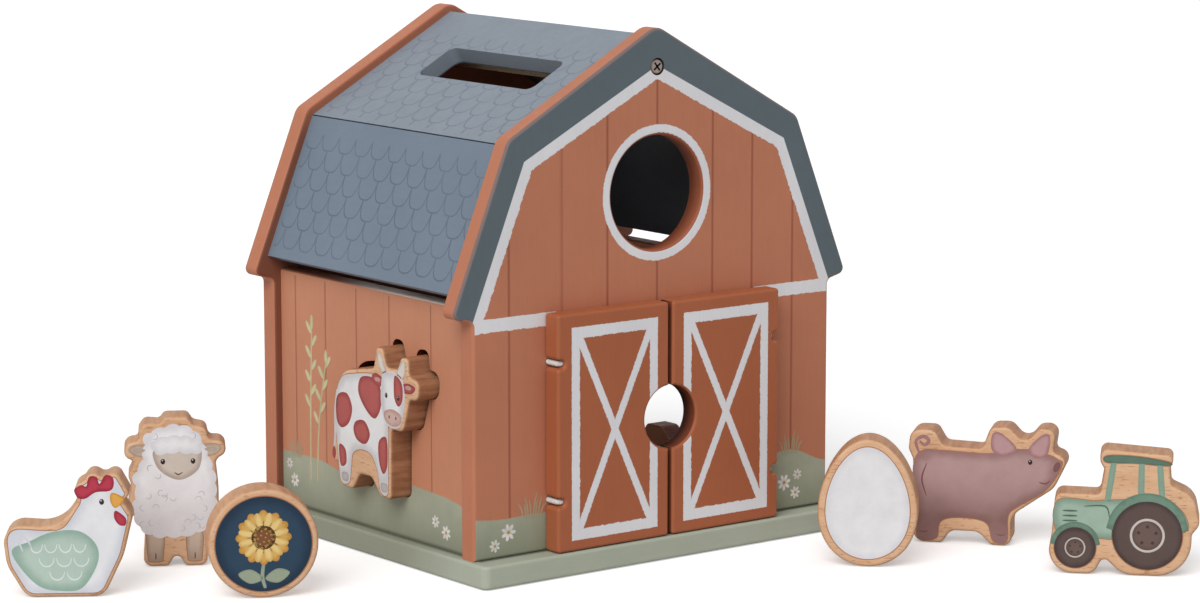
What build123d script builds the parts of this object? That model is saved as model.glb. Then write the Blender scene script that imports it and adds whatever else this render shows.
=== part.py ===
from build123d import *

import os
from math import cos, pi, radians, sin

# A wooden farm shape sorter: a toy barn with a gambrel roof, two doors hinged on
# elastic cord, shape cut-outs in its walls, and the seven blocks that go with it.
# All sizes are in millimetres. The origin is the middle of the base board's
# underside. +Z is up, the doors face -Y and the cow's wall faces -X.

# Boards
wall_board = 8.0
gable_board = 8.0
door_board = 8.0
roof_board = 6.5
base_board_thickness = 8.5
edge_round = 1.2

# Barn
barn_width = 164.0
barn_depth = 136.0
eave_underside = 94.0
eave_tip_out = 8.75
eave_tip_rise = 2.25
knee_half_width = 66.3
knee_above_eave_tip = 60.75
apex_above_knee = 37.0
eave_tip_round = 2.5
knee_round = 6.0
apex_round = 7.0

# Walls and roof stand in from the gables' edges
gable_reveal = 3.2
wall_top_above_eave = 3.8
roof_edge_above_eave_tip = 6.95
roof_joint_gap = 0.6

# Base board
base_side_overhang = 1.8
base_front_overhang = 8.8
base_corner_round = 3.0

# Round window
window_height = 133.6
window_radius = 20.8

# Doorway and doors
doorway_half_width = 42.0
doorway_sill = 6.0
doorway_top = 86.0
doorway_round = 6.0
doors_half_width = 51.1
door_foot_gap = 0.3
door_top = 94.8
door_gap = 0.3
doors_middle_gap = 1.6
finger_hole_height = 52.6
finger_hole_radius = 11.6

# Elastic hinge cords and the notches that take them
cord_diameter = 2.2
cord_bend = 1.6
cord_setback = 5.6
cord_hole_clearance = 0.3
cord_hole_depth = 9.0
cord_knot_radius = 2.4
hinge_heights = {"lower": 27.0, "upper": 77.0}
notch_depth = 3.3
notch_height = 3.2
notch_round = 1.4

# Slot in the upper left roof board
slot_length = 71.0
slot_width = 18.7
slot_from_ridge = 31.3
slot_shift = -3.5
slot_round = 3.5

# Ridge bar and its two screws
ridge_bar_half_width = 7.0
ridge_bar_below_apex = 23.1
ridge_screw_below_apex = 14.9
screw_head_radius = 3.0
screw_head_height = 1.9
screw_head_round = 1.1
screw_recess_radius = 3.15
screw_recess_depth = 2.0
screw_shank_radius = 1.5
ridge_screw_length = 26.0
screw_clearance = 0.05
cross_arm = 1.9
cross_width = 0.75
cross_turn = 38.0
cross_depth = 1.1

# Countersunk screws up through the base board
base_screw_length = 17.0
base_screw_head_radius = 3.2
base_screw_head_depth = 2.0
base_screw_sink = 0.4
gable_screw_spread = 58.0
wall_screw_spread = 34.0

# Dowels
wall_dowel_radius = 2.0
roof_dowel_radius = 1.6
dowel_in_gable = 5.0
dowel_in_board = 10.0
dowel_clearance = 0.05
wall_dowel_heights = [34.0, 78.0]
roof_dowel_inset = 14.0

# Blocks and their cut-outs
block_thickness = 14.0
block_round = 1.3
cutout_clearance = 1.2
seat_gap = 0.3
round_block_radius = 19.3
egg_width = 35.7
egg_height = 46.8
egg_taper = 0.15
cow_stand_out = 8.5
cow_hole_bottom = 23.9
cow_hole_shift = -13.8
pig_hole_bottom = 21.2
pig_hole_shift = 22.0
rear_lower_row = 20.0
rear_upper_row = 98.0
rear_tractor_shift = 30.0
rear_sheep_shift = -42.0
rear_hen_shift = 26.0
rear_egg_shift = -26.0

# Where the six loose blocks stand on the floor, and the turn of each face
block_places = {
    "hen": (-204.6, 6.0),
    "sheep": (-148.8, 22.9),
    "round": (-150.2, -37.6),
    "egg": (47.9, -129.9),
    "pig": (101.2, -124.4),
    "tractor": (109.6, -193.7),
}
block_turns = {"hen": -34.0, "sheep": -31.0, "round": -26.5, "egg": -44.6, "pig": -50.5, "tractor": -46.5}

# Block outlines: each corner is (across, up, rounding), going round anticlockwise
tractor_corners = [
    (-25.2, 0.0, 8.5), (-7.6, 0.0, 4.5), (-4.4, 6.6, 1.9), (2.6, 0.0, 9.5), (26.3, 0.0, 12.5),
    (26.8, 15.4, 2.0), (29.6, 19.0, 4.0), (27.5, 29.5, 8.0), (19.2, 33.2, 2.0), (18.7, 39.6, 1.9),
    (20.8, 44.1, 2.2), (-6.3, 45.9, 2.6), (-6.0, 40.8, 1.6), (-4.6, 38.4, 1.8), (-6.0, 29.2, 1.9),
    (-21.8, 29.5, 3.0), (-22.8, 14.5, 3.0),
]
hen_corners = [
    (-13.3, 0.0, 6.0), (13.6, 0.0, 6.0), (20.6, 14.5, 16.0), (24.0, 28.5, 4.0), (20.9, 33.6, 1.9),
    (23.2, 36.3, 2.0), (18.6, 44.9, 2.8), (14.1, 42.2, 2.6), (9.5, 45.2, 3.0), (7.4, 41.5, 2.0),
    (3.0, 39.0, 3.4), (5.2, 34.5, 3.0), (-1.0, 25.0, 12.0), (-8.0, 25.3, 6.0), (-21.6, 26.4, 6.5),
    (-20.0, 11.5, 14.0),
]
sheep_corners = [
    (-12.0, 0.0, 3.0), (-3.0, 0.0, 1.8), (0.1, 5.4, 1.9), (3.2, 0.0, 1.8),
    (11.0, 0.0, 2.6), (11.2, 13.4, 2.5), (15.4, 21.6, 5.0), (15.4, 28.8, 3.0), (14.4, 38.8, 3.0),
    (18.8, 41.4, 3.0), (17.2, 46.0, 3.2), (12.2, 46.2, 1.9), (11.2, 50.8, 2.6), (6.6, 51.8, 2.0),
    (4.6, 54.8, 2.2), (-3.6, 54.8, 2.2), (-5.4, 52.4, 2.0), (-10.8, 52.9, 2.6), (-12.9, 49.9, 2.4),
    (-13.0, 46.0, 1.8), (-18.0, 46.0, 3.3), (-18.2, 40.4, 3.0),
    (-14.4, 38.6, 1.8), (-17.0, 33.6, 2.6), (-15.8, 30.2, 2.4), (-17.4, 21.6, 5.0), (-11.2, 13.0, 2.5),
]
pig_corners = [
    (-19.6, 0.0, 4.5), (-8.8, 0.0, 2.4), (-5.6, 4.8, 4.0), (4.6, 4.8, 5.0), (9.6, 0.0, 3.2),
    (16.9, 0.0, 3.0), (16.8, 11.4, 7.0), (32.4, 22.3, 8.0), (37.8, 33.8, 3.4), (32.0, 36.0, 1.9),
    (33.2, 44.8, 3.4), (26.4, 44.6, 3.2), (21.4, 38.6, 3.6), (15.6, 44.8, 3.6), (8.8, 44.6, 3.2),
    (5.8, 36.2, 2.4), (-8.6, 36.8, 3.0), (-12.0, 42.6, 3.0), (-21.0, 42.6, 4.2), (-21.6, 35.0, 3.0),
    (-19.9, 31.2, 3.0),
]
cow_corners = [
    (-23.3, 0.0, 2.6), (-14.6, 0.0, 2.2), (-9.8, 6.3, 3.0), (-2.4, 6.3, 3.0), (3.4, 0.0, 3.0),
    (10.1, 0.0, 1.8), (10.5, 25.9, 1.9), (18.0, 25.9, 3.4), (22.0, 38.1, 1.9), (27.6, 38.8, 3.0),
    (28.4, 46.0, 3.0), (22.2, 46.8, 1.9), (21.6, 53.6, 2.0), (17.0, 53.2, 2.0), (14.6, 48.5, 1.8),
    (7.8, 48.5, 1.8), (5.6, 55.0, 1.9), (1.6, 55.0, 1.7), (-0.6, 46.9, 2.0), (-22.6, 43.2, 11.0),
    (-26.4, 29.0, 5.0), (-26.6, 17.0, 3.0), (-28.2, 11.6, 1.8), (-26.1, 8.5, 1.4), (-23.3, 9.0, 1.6),
]

# Worked-out sizes
eave_tip_height = eave_underside + eave_tip_rise
knee_height = eave_tip_height + knee_above_eave_tip
apex_height = knee_height + apex_above_knee
wall_top = eave_underside + wall_top_above_eave
roof_edge_height = eave_tip_height + roof_edge_above_eave_tip
ridge_bar_underside = apex_height - ridge_bar_below_apex
ridge_screw_height = apex_height - ridge_screw_below_apex
half_width = barn_width / 2
half_depth = barn_depth / 2
inside_depth = barn_depth - 2 * gable_board
eave_half_width = half_width + eave_tip_out
wall_outside = half_width - gable_reveal
wall_middle = wall_outside - wall_board / 2
door_back = half_depth + door_gap
base_front = half_depth + base_front_overhang

# Planes of the four sides, each seen from outside with its own across and up
front_inside = Plane(origin=(0, gable_board - half_depth, 0), x_dir=(1, 0, 0), z_dir=(0, -1, 0))
rear_inside = Plane(origin=(0, half_depth - gable_board, 0), x_dir=(-1, 0, 0), z_dir=(0, 1, 0))
left_inside = Plane(origin=(wall_board - wall_outside, 0, 0), x_dir=(0, -1, 0), z_dir=(-1, 0, 0))
right_inside = Plane(origin=(wall_outside - wall_board, 0, 0), x_dir=(0, 1, 0), z_dir=(1, 0, 0))

# Roof slopes: the unit normals of the upper and lower slopes at the right
apex = Vector(0, apex_height)
knee = Vector(knee_half_width, knee_height)
eave_tip = Vector(eave_half_width, eave_tip_height)


def slope_normal(high, low):
    """The outward unit normal of a right-hand slope, from its high and low ends."""
    return Vector(high.Y - low.Y, low.X - high.X).normalized()


upper_normal = slope_normal(apex, knee)
lower_normal = slope_normal(knee, eave_tip)


def ridge_at(depth):
    """The ridge of a roof surface that lies this deep under the gables' edges."""
    return Vector(0, apex_height - depth / upper_normal.Y)


def knee_at(depth):
    """The knee of a roof surface that lies this deep under the gables' edges."""
    turn = upper_normal + lower_normal
    return knee - turn * (depth / (1 + upper_normal.dot(lower_normal)))


def lower_edge_at(depth):
    """The lower edge of the lower board: its end is cut square to its faces."""
    top = knee_at(gable_reveal)
    along = (eave_tip - knee).normalized()
    outside = top + along * ((top.Y - roof_edge_height) / -along.Y)
    return outside - lower_normal * (depth - gable_reveal)


def upper_board_section(gap):
    """Outside ridge, outside knee, inside knee, inside ridge of an upper roof board."""
    inside = gable_reveal + roof_board
    back = (apex - knee).normalized() * (gap / 2)
    return [ridge_at(gable_reveal), knee_at(gable_reveal) + back, knee_at(inside) + back, ridge_at(inside)]


def lower_board_section(gap):
    """Outside knee, outside lower edge, inside lower edge, inside knee of a lower roof board."""
    inside = gable_reveal + roof_board
    down = (eave_tip - knee).normalized() * (gap / 2)
    outer_edge, inner_edge = lower_edge_at(gable_reveal), lower_edge_at(inside)
    return [knee_at(gable_reveal) + down, outer_edge, inner_edge, knee_at(inside) + down]


def board_dowel_points(section):
    """Two dowel places in the middle of a roof board's end, as (x, z) at the right."""
    first = (section[0] + section[3]) * 0.5
    last = (section[1] + section[2]) * 0.5
    along = (last - first).normalized() * roof_dowel_inset
    return [first + along, last - along]


upper_section = upper_board_section(roof_joint_gap)
lower_section = lower_board_section(roof_joint_gap)
upper_dowels = board_dowel_points(upper_section)
lower_dowels = board_dowel_points(lower_section)
roof_dowel_points = [(side * p.X, p.Y) for side in (-1, 1) for p in upper_dowels + lower_dowels]
wall_dowel_points = [(side * wall_middle, z) for side in (-1, 1) for z in wall_dowel_heights]


def save(piece, name):
    """Labels a finished piece and writes it to its own file."""
    piece.part.label = name
    export_step(piece.part, f"parts/{name}.step")


def rounded_shape(corners):
    """A flat shape with straight runs and rounded corners."""
    with BuildSketch() as shape:
        with BuildLine():
            points = [(across, up) for across, up, _ in corners]
            FilletPolyline(points, radius=[rounding for _, _, rounding in corners], close=True)
        make_face()
    return shape.sketch


def grown_corners(corners, amount):
    """An outline grown all round: its outward corners get rounder and its inward ones sharper."""
    grown = []
    for index, (across, up, rounding) in enumerate(corners):
        here = Vector(across, up)
        arriving = (here - Vector(*corners[index - 1][:2])).normalized()
        leaving = (Vector(*corners[(index + 1) % len(corners)][:2]) - here).normalized()
        first_out = Vector(arriving.Y, -arriving.X)
        next_out = Vector(leaving.Y, -leaving.X)
        shift = (first_out + next_out) * (amount / (1 + first_out.dot(next_out)))
        change = amount if arriving.cross(leaving).Z > 0 else -amount
        grown.append((across + shift.X, up + shift.Y, rounding + change))
    return grown


def egg_shape(grown):
    """An egg standing on its blunt end: an ellipse that narrows towards the top."""
    count = 16
    wide, tall = egg_width / 2 + grown, egg_height / 2 + grown
    turns = [2 * pi * step / count for step in range(count)]
    points = [(wide * cos(t) * (1 - egg_taper * sin(t)), egg_height / 2 + tall * sin(t)) for t in turns]
    with BuildSketch() as shape:
        with BuildLine():
            Spline(*points, periodic=True)
        make_face()
    return shape.sketch


def round_shape(grown):
    """The round block's face, standing on the floor."""
    with BuildSketch() as shape:
        with Locations((0, round_block_radius)):
            Circle(round_block_radius + grown)
    return shape.sketch


outlines = {
    "tractor": tractor_corners,
    "hen": hen_corners,
    "sheep": sheep_corners,
    "pig": pig_corners,
    "cow": cow_corners,
}


def block_shape(name, grown=0.0):
    """A block's face, its foot at height 0, or the same grown all round."""
    if name == "egg":
        return egg_shape(grown)
    if name == "round":
        return round_shape(grown)
    return rounded_shape(grown_corners(outlines[name], grown))


def cutout_shape(name, across, bottom, mirrored=False):
    """A block's outline with clearance all round, its lowest edge at the height bottom."""
    with BuildSketch() as cutout:
        add(block_shape(name, cutout_clearance))
        if mirrored:
            mirror(about=Plane.YZ, mode=Mode.REPLACE)
    return cutout.sketch.moved(Location((across, bottom + cutout_clearance)))


def gable_shape():
    """The gable boards' outline, with its eaves, knees and apex rounded."""
    right = [
        (half_width, base_board_thickness, 0),
        (half_width, eave_underside, eave_tip_round),
        (eave_half_width, eave_tip_height, eave_tip_round),
        (knee_half_width, knee_height, knee_round),
    ]
    left = [(-across, up, rounding) for across, up, rounding in reversed(right)]
    return rounded_shape(right + [(0, apex_height, apex_round)] + left)


def long_edges(piece, plane):
    """The edges round the two broad faces of a board or block made on a plane."""
    return piece.faces().filter_by(plane).edges()


os.makedirs("parts", exist_ok=True)

# Base board, drilled from below for its countersunk screws
base_screw_spots = [
    (side * gable_screw_spread, end * (half_depth - gable_board / 2)) for side in (-1, 1) for end in (-1, 1)
]
base_screw_spots += [(side * wall_middle, end * wall_screw_spread) for side in (-1, 1) for end in (-1, 1)]

with BuildPart() as base_board:
    with BuildSketch():
        RectangleRounded(barn_width + 2 * base_side_overhang, 2 * base_front, base_corner_round)
    extrude(amount=base_board_thickness)
    fillet(long_edges(base_board, Plane.XY), radius=edge_round)
    with BuildSketch():
        with Locations(*base_screw_spots):
            Circle(screw_shank_radius + screw_clearance)
    extrude(amount=base_board_thickness, mode=Mode.SUBTRACT)
    for spot_x, spot_y in base_screw_spots:
        with Locations((spot_x, spot_y, base_screw_sink / 2)):
            Cylinder(base_screw_head_radius + screw_clearance, base_screw_sink, mode=Mode.SUBTRACT)
        with Locations((spot_x, spot_y, base_screw_sink + base_screw_head_depth / 2)):
            Cone(
                base_screw_head_radius + screw_clearance,
                screw_shank_radius + screw_clearance,
                base_screw_head_depth,
                mode=Mode.SUBTRACT,
            )
save(base_board, "base_board")

with BuildPart() as base_screws:
    for spot_x, spot_y in base_screw_spots:
        with Locations((spot_x, spot_y, base_screw_sink + base_screw_head_depth / 2)):
            Cone(base_screw_head_radius, screw_shank_radius, base_screw_head_depth)
        with Locations((spot_x, spot_y, base_screw_sink + base_screw_length / 2)):
            Cylinder(screw_shank_radius, base_screw_length)
save(base_screws, "base_screws")

# Gables. Both take the roof's and walls' dowels and a ridge screw.
screw_hole_radius = screw_shank_radius + screw_clearance


def drill_gable(inside):
    """Drills a gable board, made on its inside plane: dowels, base screws and the ridge screw."""
    with BuildPart() as drills:
        with BuildSketch(inside):
            with Locations(*roof_dowel_points):
                Circle(roof_dowel_radius + dowel_clearance)
            with Locations(*wall_dowel_points):
                Circle(wall_dowel_radius + dowel_clearance)
        extrude(amount=dowel_in_gable)
        with BuildSketch(inside):
            with Locations((0, ridge_screw_height)):
                Circle(screw_hole_radius)
        extrude(amount=gable_board)
        with BuildSketch(inside.offset(gable_board - screw_recess_depth)):
            with Locations((0, ridge_screw_height)):
                Circle(screw_recess_radius)
        extrude(amount=screw_recess_depth)
        middle = inside.offset(gable_board / 2).origin.Y
        with BuildSketch(Plane(origin=(0, middle, base_board_thickness))):
            with Locations((-gable_screw_spread, 0), (gable_screw_spread, 0)):
                Circle(screw_hole_radius)
        extrude(amount=base_screw_length + base_screw_sink - base_board_thickness)
    return drills.part


with BuildPart() as front_gable:
    with BuildSketch(front_inside):
        add(gable_shape())
        with Locations((0, window_height)):
            Circle(window_radius, mode=Mode.SUBTRACT)
        doorway_height = doorway_top - doorway_sill - base_board_thickness
        with Locations((0, doorway_top - doorway_height / 2)):
            RectangleRounded(2 * doorway_half_width, doorway_height, doorway_round, mode=Mode.SUBTRACT)
    extrude(amount=gable_board)
    fillet(long_edges(front_gable, front_inside), radius=edge_round)
    add(drill_gable(front_inside), mode=Mode.SUBTRACT)
    # Holes for the four hinge cords
    cord_line = doors_half_width - notch_depth + cord_diameter / 2 + cord_hole_clearance / 2
    with BuildSketch(front_inside):
        with Locations(*[(side * cord_line, z) for side in (-1, 1) for z in hinge_heights.values()]):
            Circle(cord_diameter / 2 + cord_hole_clearance)
    extrude(amount=gable_board, mode=Mode.SUBTRACT)
save(front_gable, "front_gable")

with BuildPart() as rear_gable:
    with BuildSketch(rear_inside):
        add(gable_shape())
    extrude(amount=gable_board)
    fillet(long_edges(rear_gable, rear_inside), radius=edge_round)
    add(drill_gable(rear_inside), mode=Mode.SUBTRACT)
    with BuildSketch(rear_inside):
        add(cutout_shape("tractor", rear_tractor_shift, rear_lower_row))
        add(cutout_shape("sheep", rear_sheep_shift, rear_lower_row))
        add(cutout_shape("hen", rear_hen_shift, rear_upper_row))
        add(cutout_shape("egg", rear_egg_shift, rear_upper_row))
    extrude(amount=gable_board, mode=Mode.SUBTRACT)
save(rear_gable, "rear_gable")


# Side walls, each with one cut-out
def side_wall(inside, cutout):
    """A wall board between the gables, with its cut-out and its dowel and screw holes."""
    with BuildPart() as wall:
        with BuildSketch(inside):
            with Locations((0, (wall_top + base_board_thickness) / 2)):
                Rectangle(inside_depth, wall_top - base_board_thickness)
            add(cutout, mode=Mode.SUBTRACT)
        extrude(amount=wall_board)
        fillet(wall.edges().filter_by(Axis.Y).group_by(Axis.Z)[-1], radius=edge_round)
        for end in (-1, 1):
            for z in wall_dowel_heights:
                with Locations(Location((inside.offset(wall_board / 2).origin.X, end * inside_depth / 2, z))):
                    Cylinder(
                        wall_dowel_radius + dowel_clearance,
                        2 * dowel_in_board,
                        rotation=(90, 0, 0),
                        mode=Mode.SUBTRACT,
                    )
        with BuildSketch(Plane(origin=(inside.offset(wall_board / 2).origin.X, 0, base_board_thickness))):
            with Locations((0, -wall_screw_spread), (0, wall_screw_spread)):
                Circle(screw_hole_radius)
        extrude(amount=base_screw_length + base_screw_sink - base_board_thickness, mode=Mode.SUBTRACT)
    return wall


save(side_wall(left_inside, cutout_shape("cow", -cow_hole_shift, cow_hole_bottom)), "left_wall")
save(
    side_wall(right_inside, cutout_shape("pig", pig_hole_shift, pig_hole_bottom, mirrored=True)),
    "right_wall",
)


# Roof boards, each between the gables, with two dowel holes in each end
def roof_piece(section, dowels, side):
    """A roof board with this section, at the left (side -1) or right (side 1)."""
    with BuildPart() as piece:
        with BuildSketch(Plane.XZ.offset(-inside_depth / 2)):
            with BuildLine():
                Polyline(*[(side * p.X, p.Y) for p in section], close=True)
            make_face()
        extrude(amount=inside_depth)
        for end in (-1, 1):
            with Locations(*[Location((side * p.X, end * inside_depth / 2, p.Y)) for p in dowels]):
                Cylinder(
                    roof_dowel_radius + dowel_clearance,
                    2 * dowel_in_board,
                    rotation=(90, 0, 0),
                    mode=Mode.SUBTRACT,
                )
    return piece


left_ridge = ridge_at(gable_reveal)
slot_plane = Plane(
    origin=(0, 0, left_ridge.Y), x_dir=(0, -1, 0), z_dir=(-upper_normal.X, 0, upper_normal.Y)
)
with BuildPart() as roof_upper_left:
    add(roof_piece(upper_section, upper_dowels, -1).part)
    with BuildSketch(slot_plane):
        with Locations((-slot_shift, -slot_from_ridge)):
            RectangleRounded(slot_length, slot_width, slot_round)
    extrude(amount=-roof_board, mode=Mode.SUBTRACT)
save(roof_upper_left, "roof_upper_left")
save(roof_piece(upper_section, upper_dowels, 1), "roof_upper_right")
save(roof_piece(lower_section, lower_dowels, -1), "roof_lower_left")
save(roof_piece(lower_section, lower_dowels, 1), "roof_lower_right")

# Ridge bar under the roof, with a pilot hole in each end for its screw
bar_ridge = ridge_at(gable_reveal + roof_board)
bar_shoulder = bar_ridge.Y - ridge_bar_half_width * upper_normal.X / upper_normal.Y
with BuildPart() as ridge_bar:
    with BuildSketch(Plane.XZ.offset(-inside_depth / 2)):
        with BuildLine():
            Polyline(
                (-ridge_bar_half_width, ridge_bar_underside),
                (ridge_bar_half_width, ridge_bar_underside),
                (ridge_bar_half_width, bar_shoulder),
                (0, bar_ridge.Y),
                (-ridge_bar_half_width, bar_shoulder),
                close=True,
            )
        make_face()
    extrude(amount=inside_depth)
    for end in (-1, 1):
        with Locations((0, end * inside_depth / 2, ridge_screw_height)):
            Cylinder(screw_hole_radius, 2 * ridge_screw_length, rotation=(90, 0, 0), mode=Mode.SUBTRACT)
save(ridge_bar, "ridge_bar")

# Ridge screws: a domed cross head in a recess, and a plain shank
for name, inside in (("ridge_screw_front", front_inside), ("ridge_screw_rear", rear_inside)):
    seat = inside.offset(gable_board - screw_recess_depth)
    with BuildPart() as ridge_screw:
        with BuildSketch(seat):
            with Locations((0, ridge_screw_height)):
                Circle(screw_head_radius)
        extrude(amount=screw_head_height)
        head_rim = ridge_screw.faces().filter_by(seat).sort_by(Axis(seat.origin, seat.z_dir))[-1].edges()
        fillet(head_rim, radius=screw_head_round)
        with BuildSketch(seat.offset(screw_head_height)):
            with Locations((0, ridge_screw_height)):
                Rectangle(2 * cross_arm, cross_width, rotation=cross_turn)
                Rectangle(cross_width, 2 * cross_arm, rotation=cross_turn)
        extrude(amount=-cross_depth, mode=Mode.SUBTRACT)
        with BuildSketch(seat):
            with Locations((0, ridge_screw_height)):
                Circle(screw_shank_radius)
        extrude(amount=-ridge_screw_length)
    save(ridge_screw, name)

# Dowels
with BuildPart() as wall_dowels:
    for end in (-1, 1):
        middle = end * (inside_depth / 2 + (dowel_in_gable - dowel_in_board) / 2)
        with Locations(*[(x, middle, z) for x, z in wall_dowel_points]):
            Cylinder(wall_dowel_radius, dowel_in_gable + dowel_in_board, rotation=(90, 0, 0))
save(wall_dowels, "wall_dowels")

with BuildPart() as roof_dowels:
    for end in (-1, 1):
        middle = end * (inside_depth / 2 + (dowel_in_gable - dowel_in_board) / 2)
        with Locations(*[(x, middle, z) for x, z in roof_dowel_points]):
            Cylinder(roof_dowel_radius, dowel_in_gable + dowel_in_board, rotation=(90, 0, 0))
save(roof_dowels, "roof_dowels")


# Doors: each has half of the finger hole, and a notch for each hinge cord
def door(side):
    """The door at the left (side -1) or right (side 1), closed."""
    foot = base_board_thickness + door_foot_gap
    inner = doors_middle_gap / 2
    outer = doors_half_width
    corners = [(inner, foot, edge_round), (outer, foot, edge_round)]
    for z in sorted(hinge_heights.values()):
        corners += [
            (outer, z - notch_height / 2, notch_round),
            (outer - notch_depth, z - notch_height / 2, notch_round),
            (outer - notch_depth, z + notch_height / 2, notch_round),
            (outer, z + notch_height / 2, notch_round),
        ]
    corners += [(outer, door_top, edge_round), (inner, door_top, edge_round)]
    door_plane = Plane(origin=(0, -door_back, 0), x_dir=(1, 0, 0), z_dir=(0, -1, 0))
    with BuildPart() as leaf:
        with BuildSketch(door_plane):
            add(rounded_shape([(side * across, up, rounding) for across, up, rounding in corners]))
            with Locations((0, finger_hole_height)):
                Circle(finger_hole_radius, mode=Mode.SUBTRACT)
        extrude(amount=door_board)
        fillet(long_edges(leaf, door_plane), radius=edge_round)
        for z in hinge_heights.values():
            start = side * (outer - notch_depth + notch_round)
            hole_plane = Plane(origin=(start, -door_back - cord_setback + door_gap, z), z_dir=(-side, 0, 0))
            with BuildSketch(hole_plane):
                Circle(cord_diameter / 2 + cord_hole_clearance)
            extrude(amount=cord_hole_depth + notch_round, mode=Mode.SUBTRACT)
    return leaf


save(door(-1), "door_left")
save(door(1), "door_right")

# Elastic hinge cords: from a knot behind the gable, along the notch, and into the door's edge
for side, side_name in ((-1, "left"), (1, "right")):
    for level, z in hinge_heights.items():
        knot = (side * cord_line, gable_board - half_depth + cord_knot_radius, z)
        bend = (side * cord_line, -half_depth - cord_setback, z)
        tip_reach = doors_half_width - notch_depth - cord_hole_depth + cord_hole_clearance
        tip = (side * tip_reach, -half_depth - cord_setback, z)
        with BuildPart() as hinge_cord:
            with BuildLine() as route:
                FilletPolyline(knot, bend, tip, radius=cord_bend)
            with BuildSketch(Plane(origin=route.line @ 0, z_dir=route.line % 0)):
                Circle(cord_diameter / 2)
            sweep()
            with Locations(knot):
                Sphere(cord_knot_radius)
        save(hinge_cord, f"hinge_cord_{side_name}_{level}")


# Blocks
def block(name, place):
    """A block with its face on a plane and its thickness behind it, its edges rounded."""
    with BuildPart() as piece:
        with BuildSketch(place):
            add(block_shape(name))
        extrude(amount=-block_thickness)
        fillet(long_edges(piece, place), radius=block_round)
    return piece


cow_face = Plane(
    origin=(-wall_outside - cow_stand_out, cow_hole_shift, cow_hole_bottom + seat_gap),
    x_dir=(0, -1, 0),
    z_dir=(-1, 0, 0),
)
save(block("cow", cow_face), "cow_block")

for name, (place_x, place_y) in block_places.items():
    turn = radians(block_turns[name])
    face_along = (cos(turn), sin(turn), 0)
    face_out = (sin(turn), -cos(turn), 0)
    face = Plane(origin=(place_x, place_y, 0), x_dir=face_along, z_dir=face_out)
    save(block(name, face), f"{name}_block")
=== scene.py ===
# %% [markdown]
# # A wooden farm shape sorter
#
# The CAD model gives every solid its place. This scene adds the looks: paint on the barn,
# beech and prints on the blocks, braided elastic at the doors, a floor, light and a camera.
# Sizes are given in millimetres in the text and the calls, and turned into metres once. The
# faces that carry paint and prints are measured on the CAD boards.

import math
import random

import bmesh
import bpy
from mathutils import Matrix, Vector
from mathutils.geometry import delaunay_2d_cdt


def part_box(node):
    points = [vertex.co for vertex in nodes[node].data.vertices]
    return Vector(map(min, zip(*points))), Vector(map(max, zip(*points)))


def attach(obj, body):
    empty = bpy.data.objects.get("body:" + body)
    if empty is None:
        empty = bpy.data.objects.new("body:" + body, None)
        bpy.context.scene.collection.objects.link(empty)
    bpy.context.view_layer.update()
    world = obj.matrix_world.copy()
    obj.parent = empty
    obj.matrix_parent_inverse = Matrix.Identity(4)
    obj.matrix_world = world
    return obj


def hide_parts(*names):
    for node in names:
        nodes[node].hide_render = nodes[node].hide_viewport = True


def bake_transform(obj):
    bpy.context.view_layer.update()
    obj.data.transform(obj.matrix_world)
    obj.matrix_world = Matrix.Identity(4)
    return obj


MM = 0.001
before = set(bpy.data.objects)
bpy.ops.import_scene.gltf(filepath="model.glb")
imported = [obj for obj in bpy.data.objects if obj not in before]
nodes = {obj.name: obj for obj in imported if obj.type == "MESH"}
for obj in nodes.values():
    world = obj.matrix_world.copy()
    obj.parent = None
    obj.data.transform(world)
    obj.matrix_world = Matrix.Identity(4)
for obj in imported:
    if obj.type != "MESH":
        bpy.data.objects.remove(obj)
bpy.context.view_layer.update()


def outer_face(node, axis):
    """How far out a board of the barn reaches along the axis 0, 1 or 2, in millimetres."""
    low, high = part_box(node)
    return round(max(-low[axis], high[axis]) / MM, 2)


WALL_FACE = outer_face("left_wall", 0)
GABLE_FACE = outer_face("front_gable", 1)
DOOR_FACE = outer_face("door_left", 1)
print("faces of wall, gable and door:", WALL_FACE, GABLE_FACE, DOOR_FACE)

# %% [markdown]
# ## Camera
#
# A long lens from the left front, a little above the toy, turned down by 9 degrees. The place
# and turn come from matching the barn's corners.

# %% Place the camera
camera_data = bpy.data.cameras.new("camera")
camera_data.sensor_fit = "HORIZONTAL"
camera_data.sensor_width = 36.0
camera_data.lens = 114.33
camera = bpy.data.objects.new("camera", camera_data)
camera.location = (-0.8474, -1.1348, 0.3142)
camera.rotation_euler = (math.radians(80.809), 0.0, math.radians(-37.595))
bpy.context.scene.collection.objects.link(camera)
bpy.context.scene.camera = camera
print("camera", camera_data.lens, "mm")

# %% [markdown]
# ## Short calls for shader nodes
#
# A printed toy needs many masks: lines, bands, rings and hills. `Sketch` wraps one node tree and
# adds nodes with one call each, so that a mask reads like the sum that it is. Every mask
# works on Object coordinates in millimetres, which stay with a piece when its body moves.

# %% Colours and node calls
def srgb(red, green, blue):
    """A colour given as 0 to 255 in sRGB, as linear RGBA."""
    def linear(value):
        value = value / 255
        return value / 12.92 if value <= 0.04045 else ((value + 0.055) / 1.055) ** 2.4
    return (linear(red), linear(green), linear(blue), 1.0)


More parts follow.
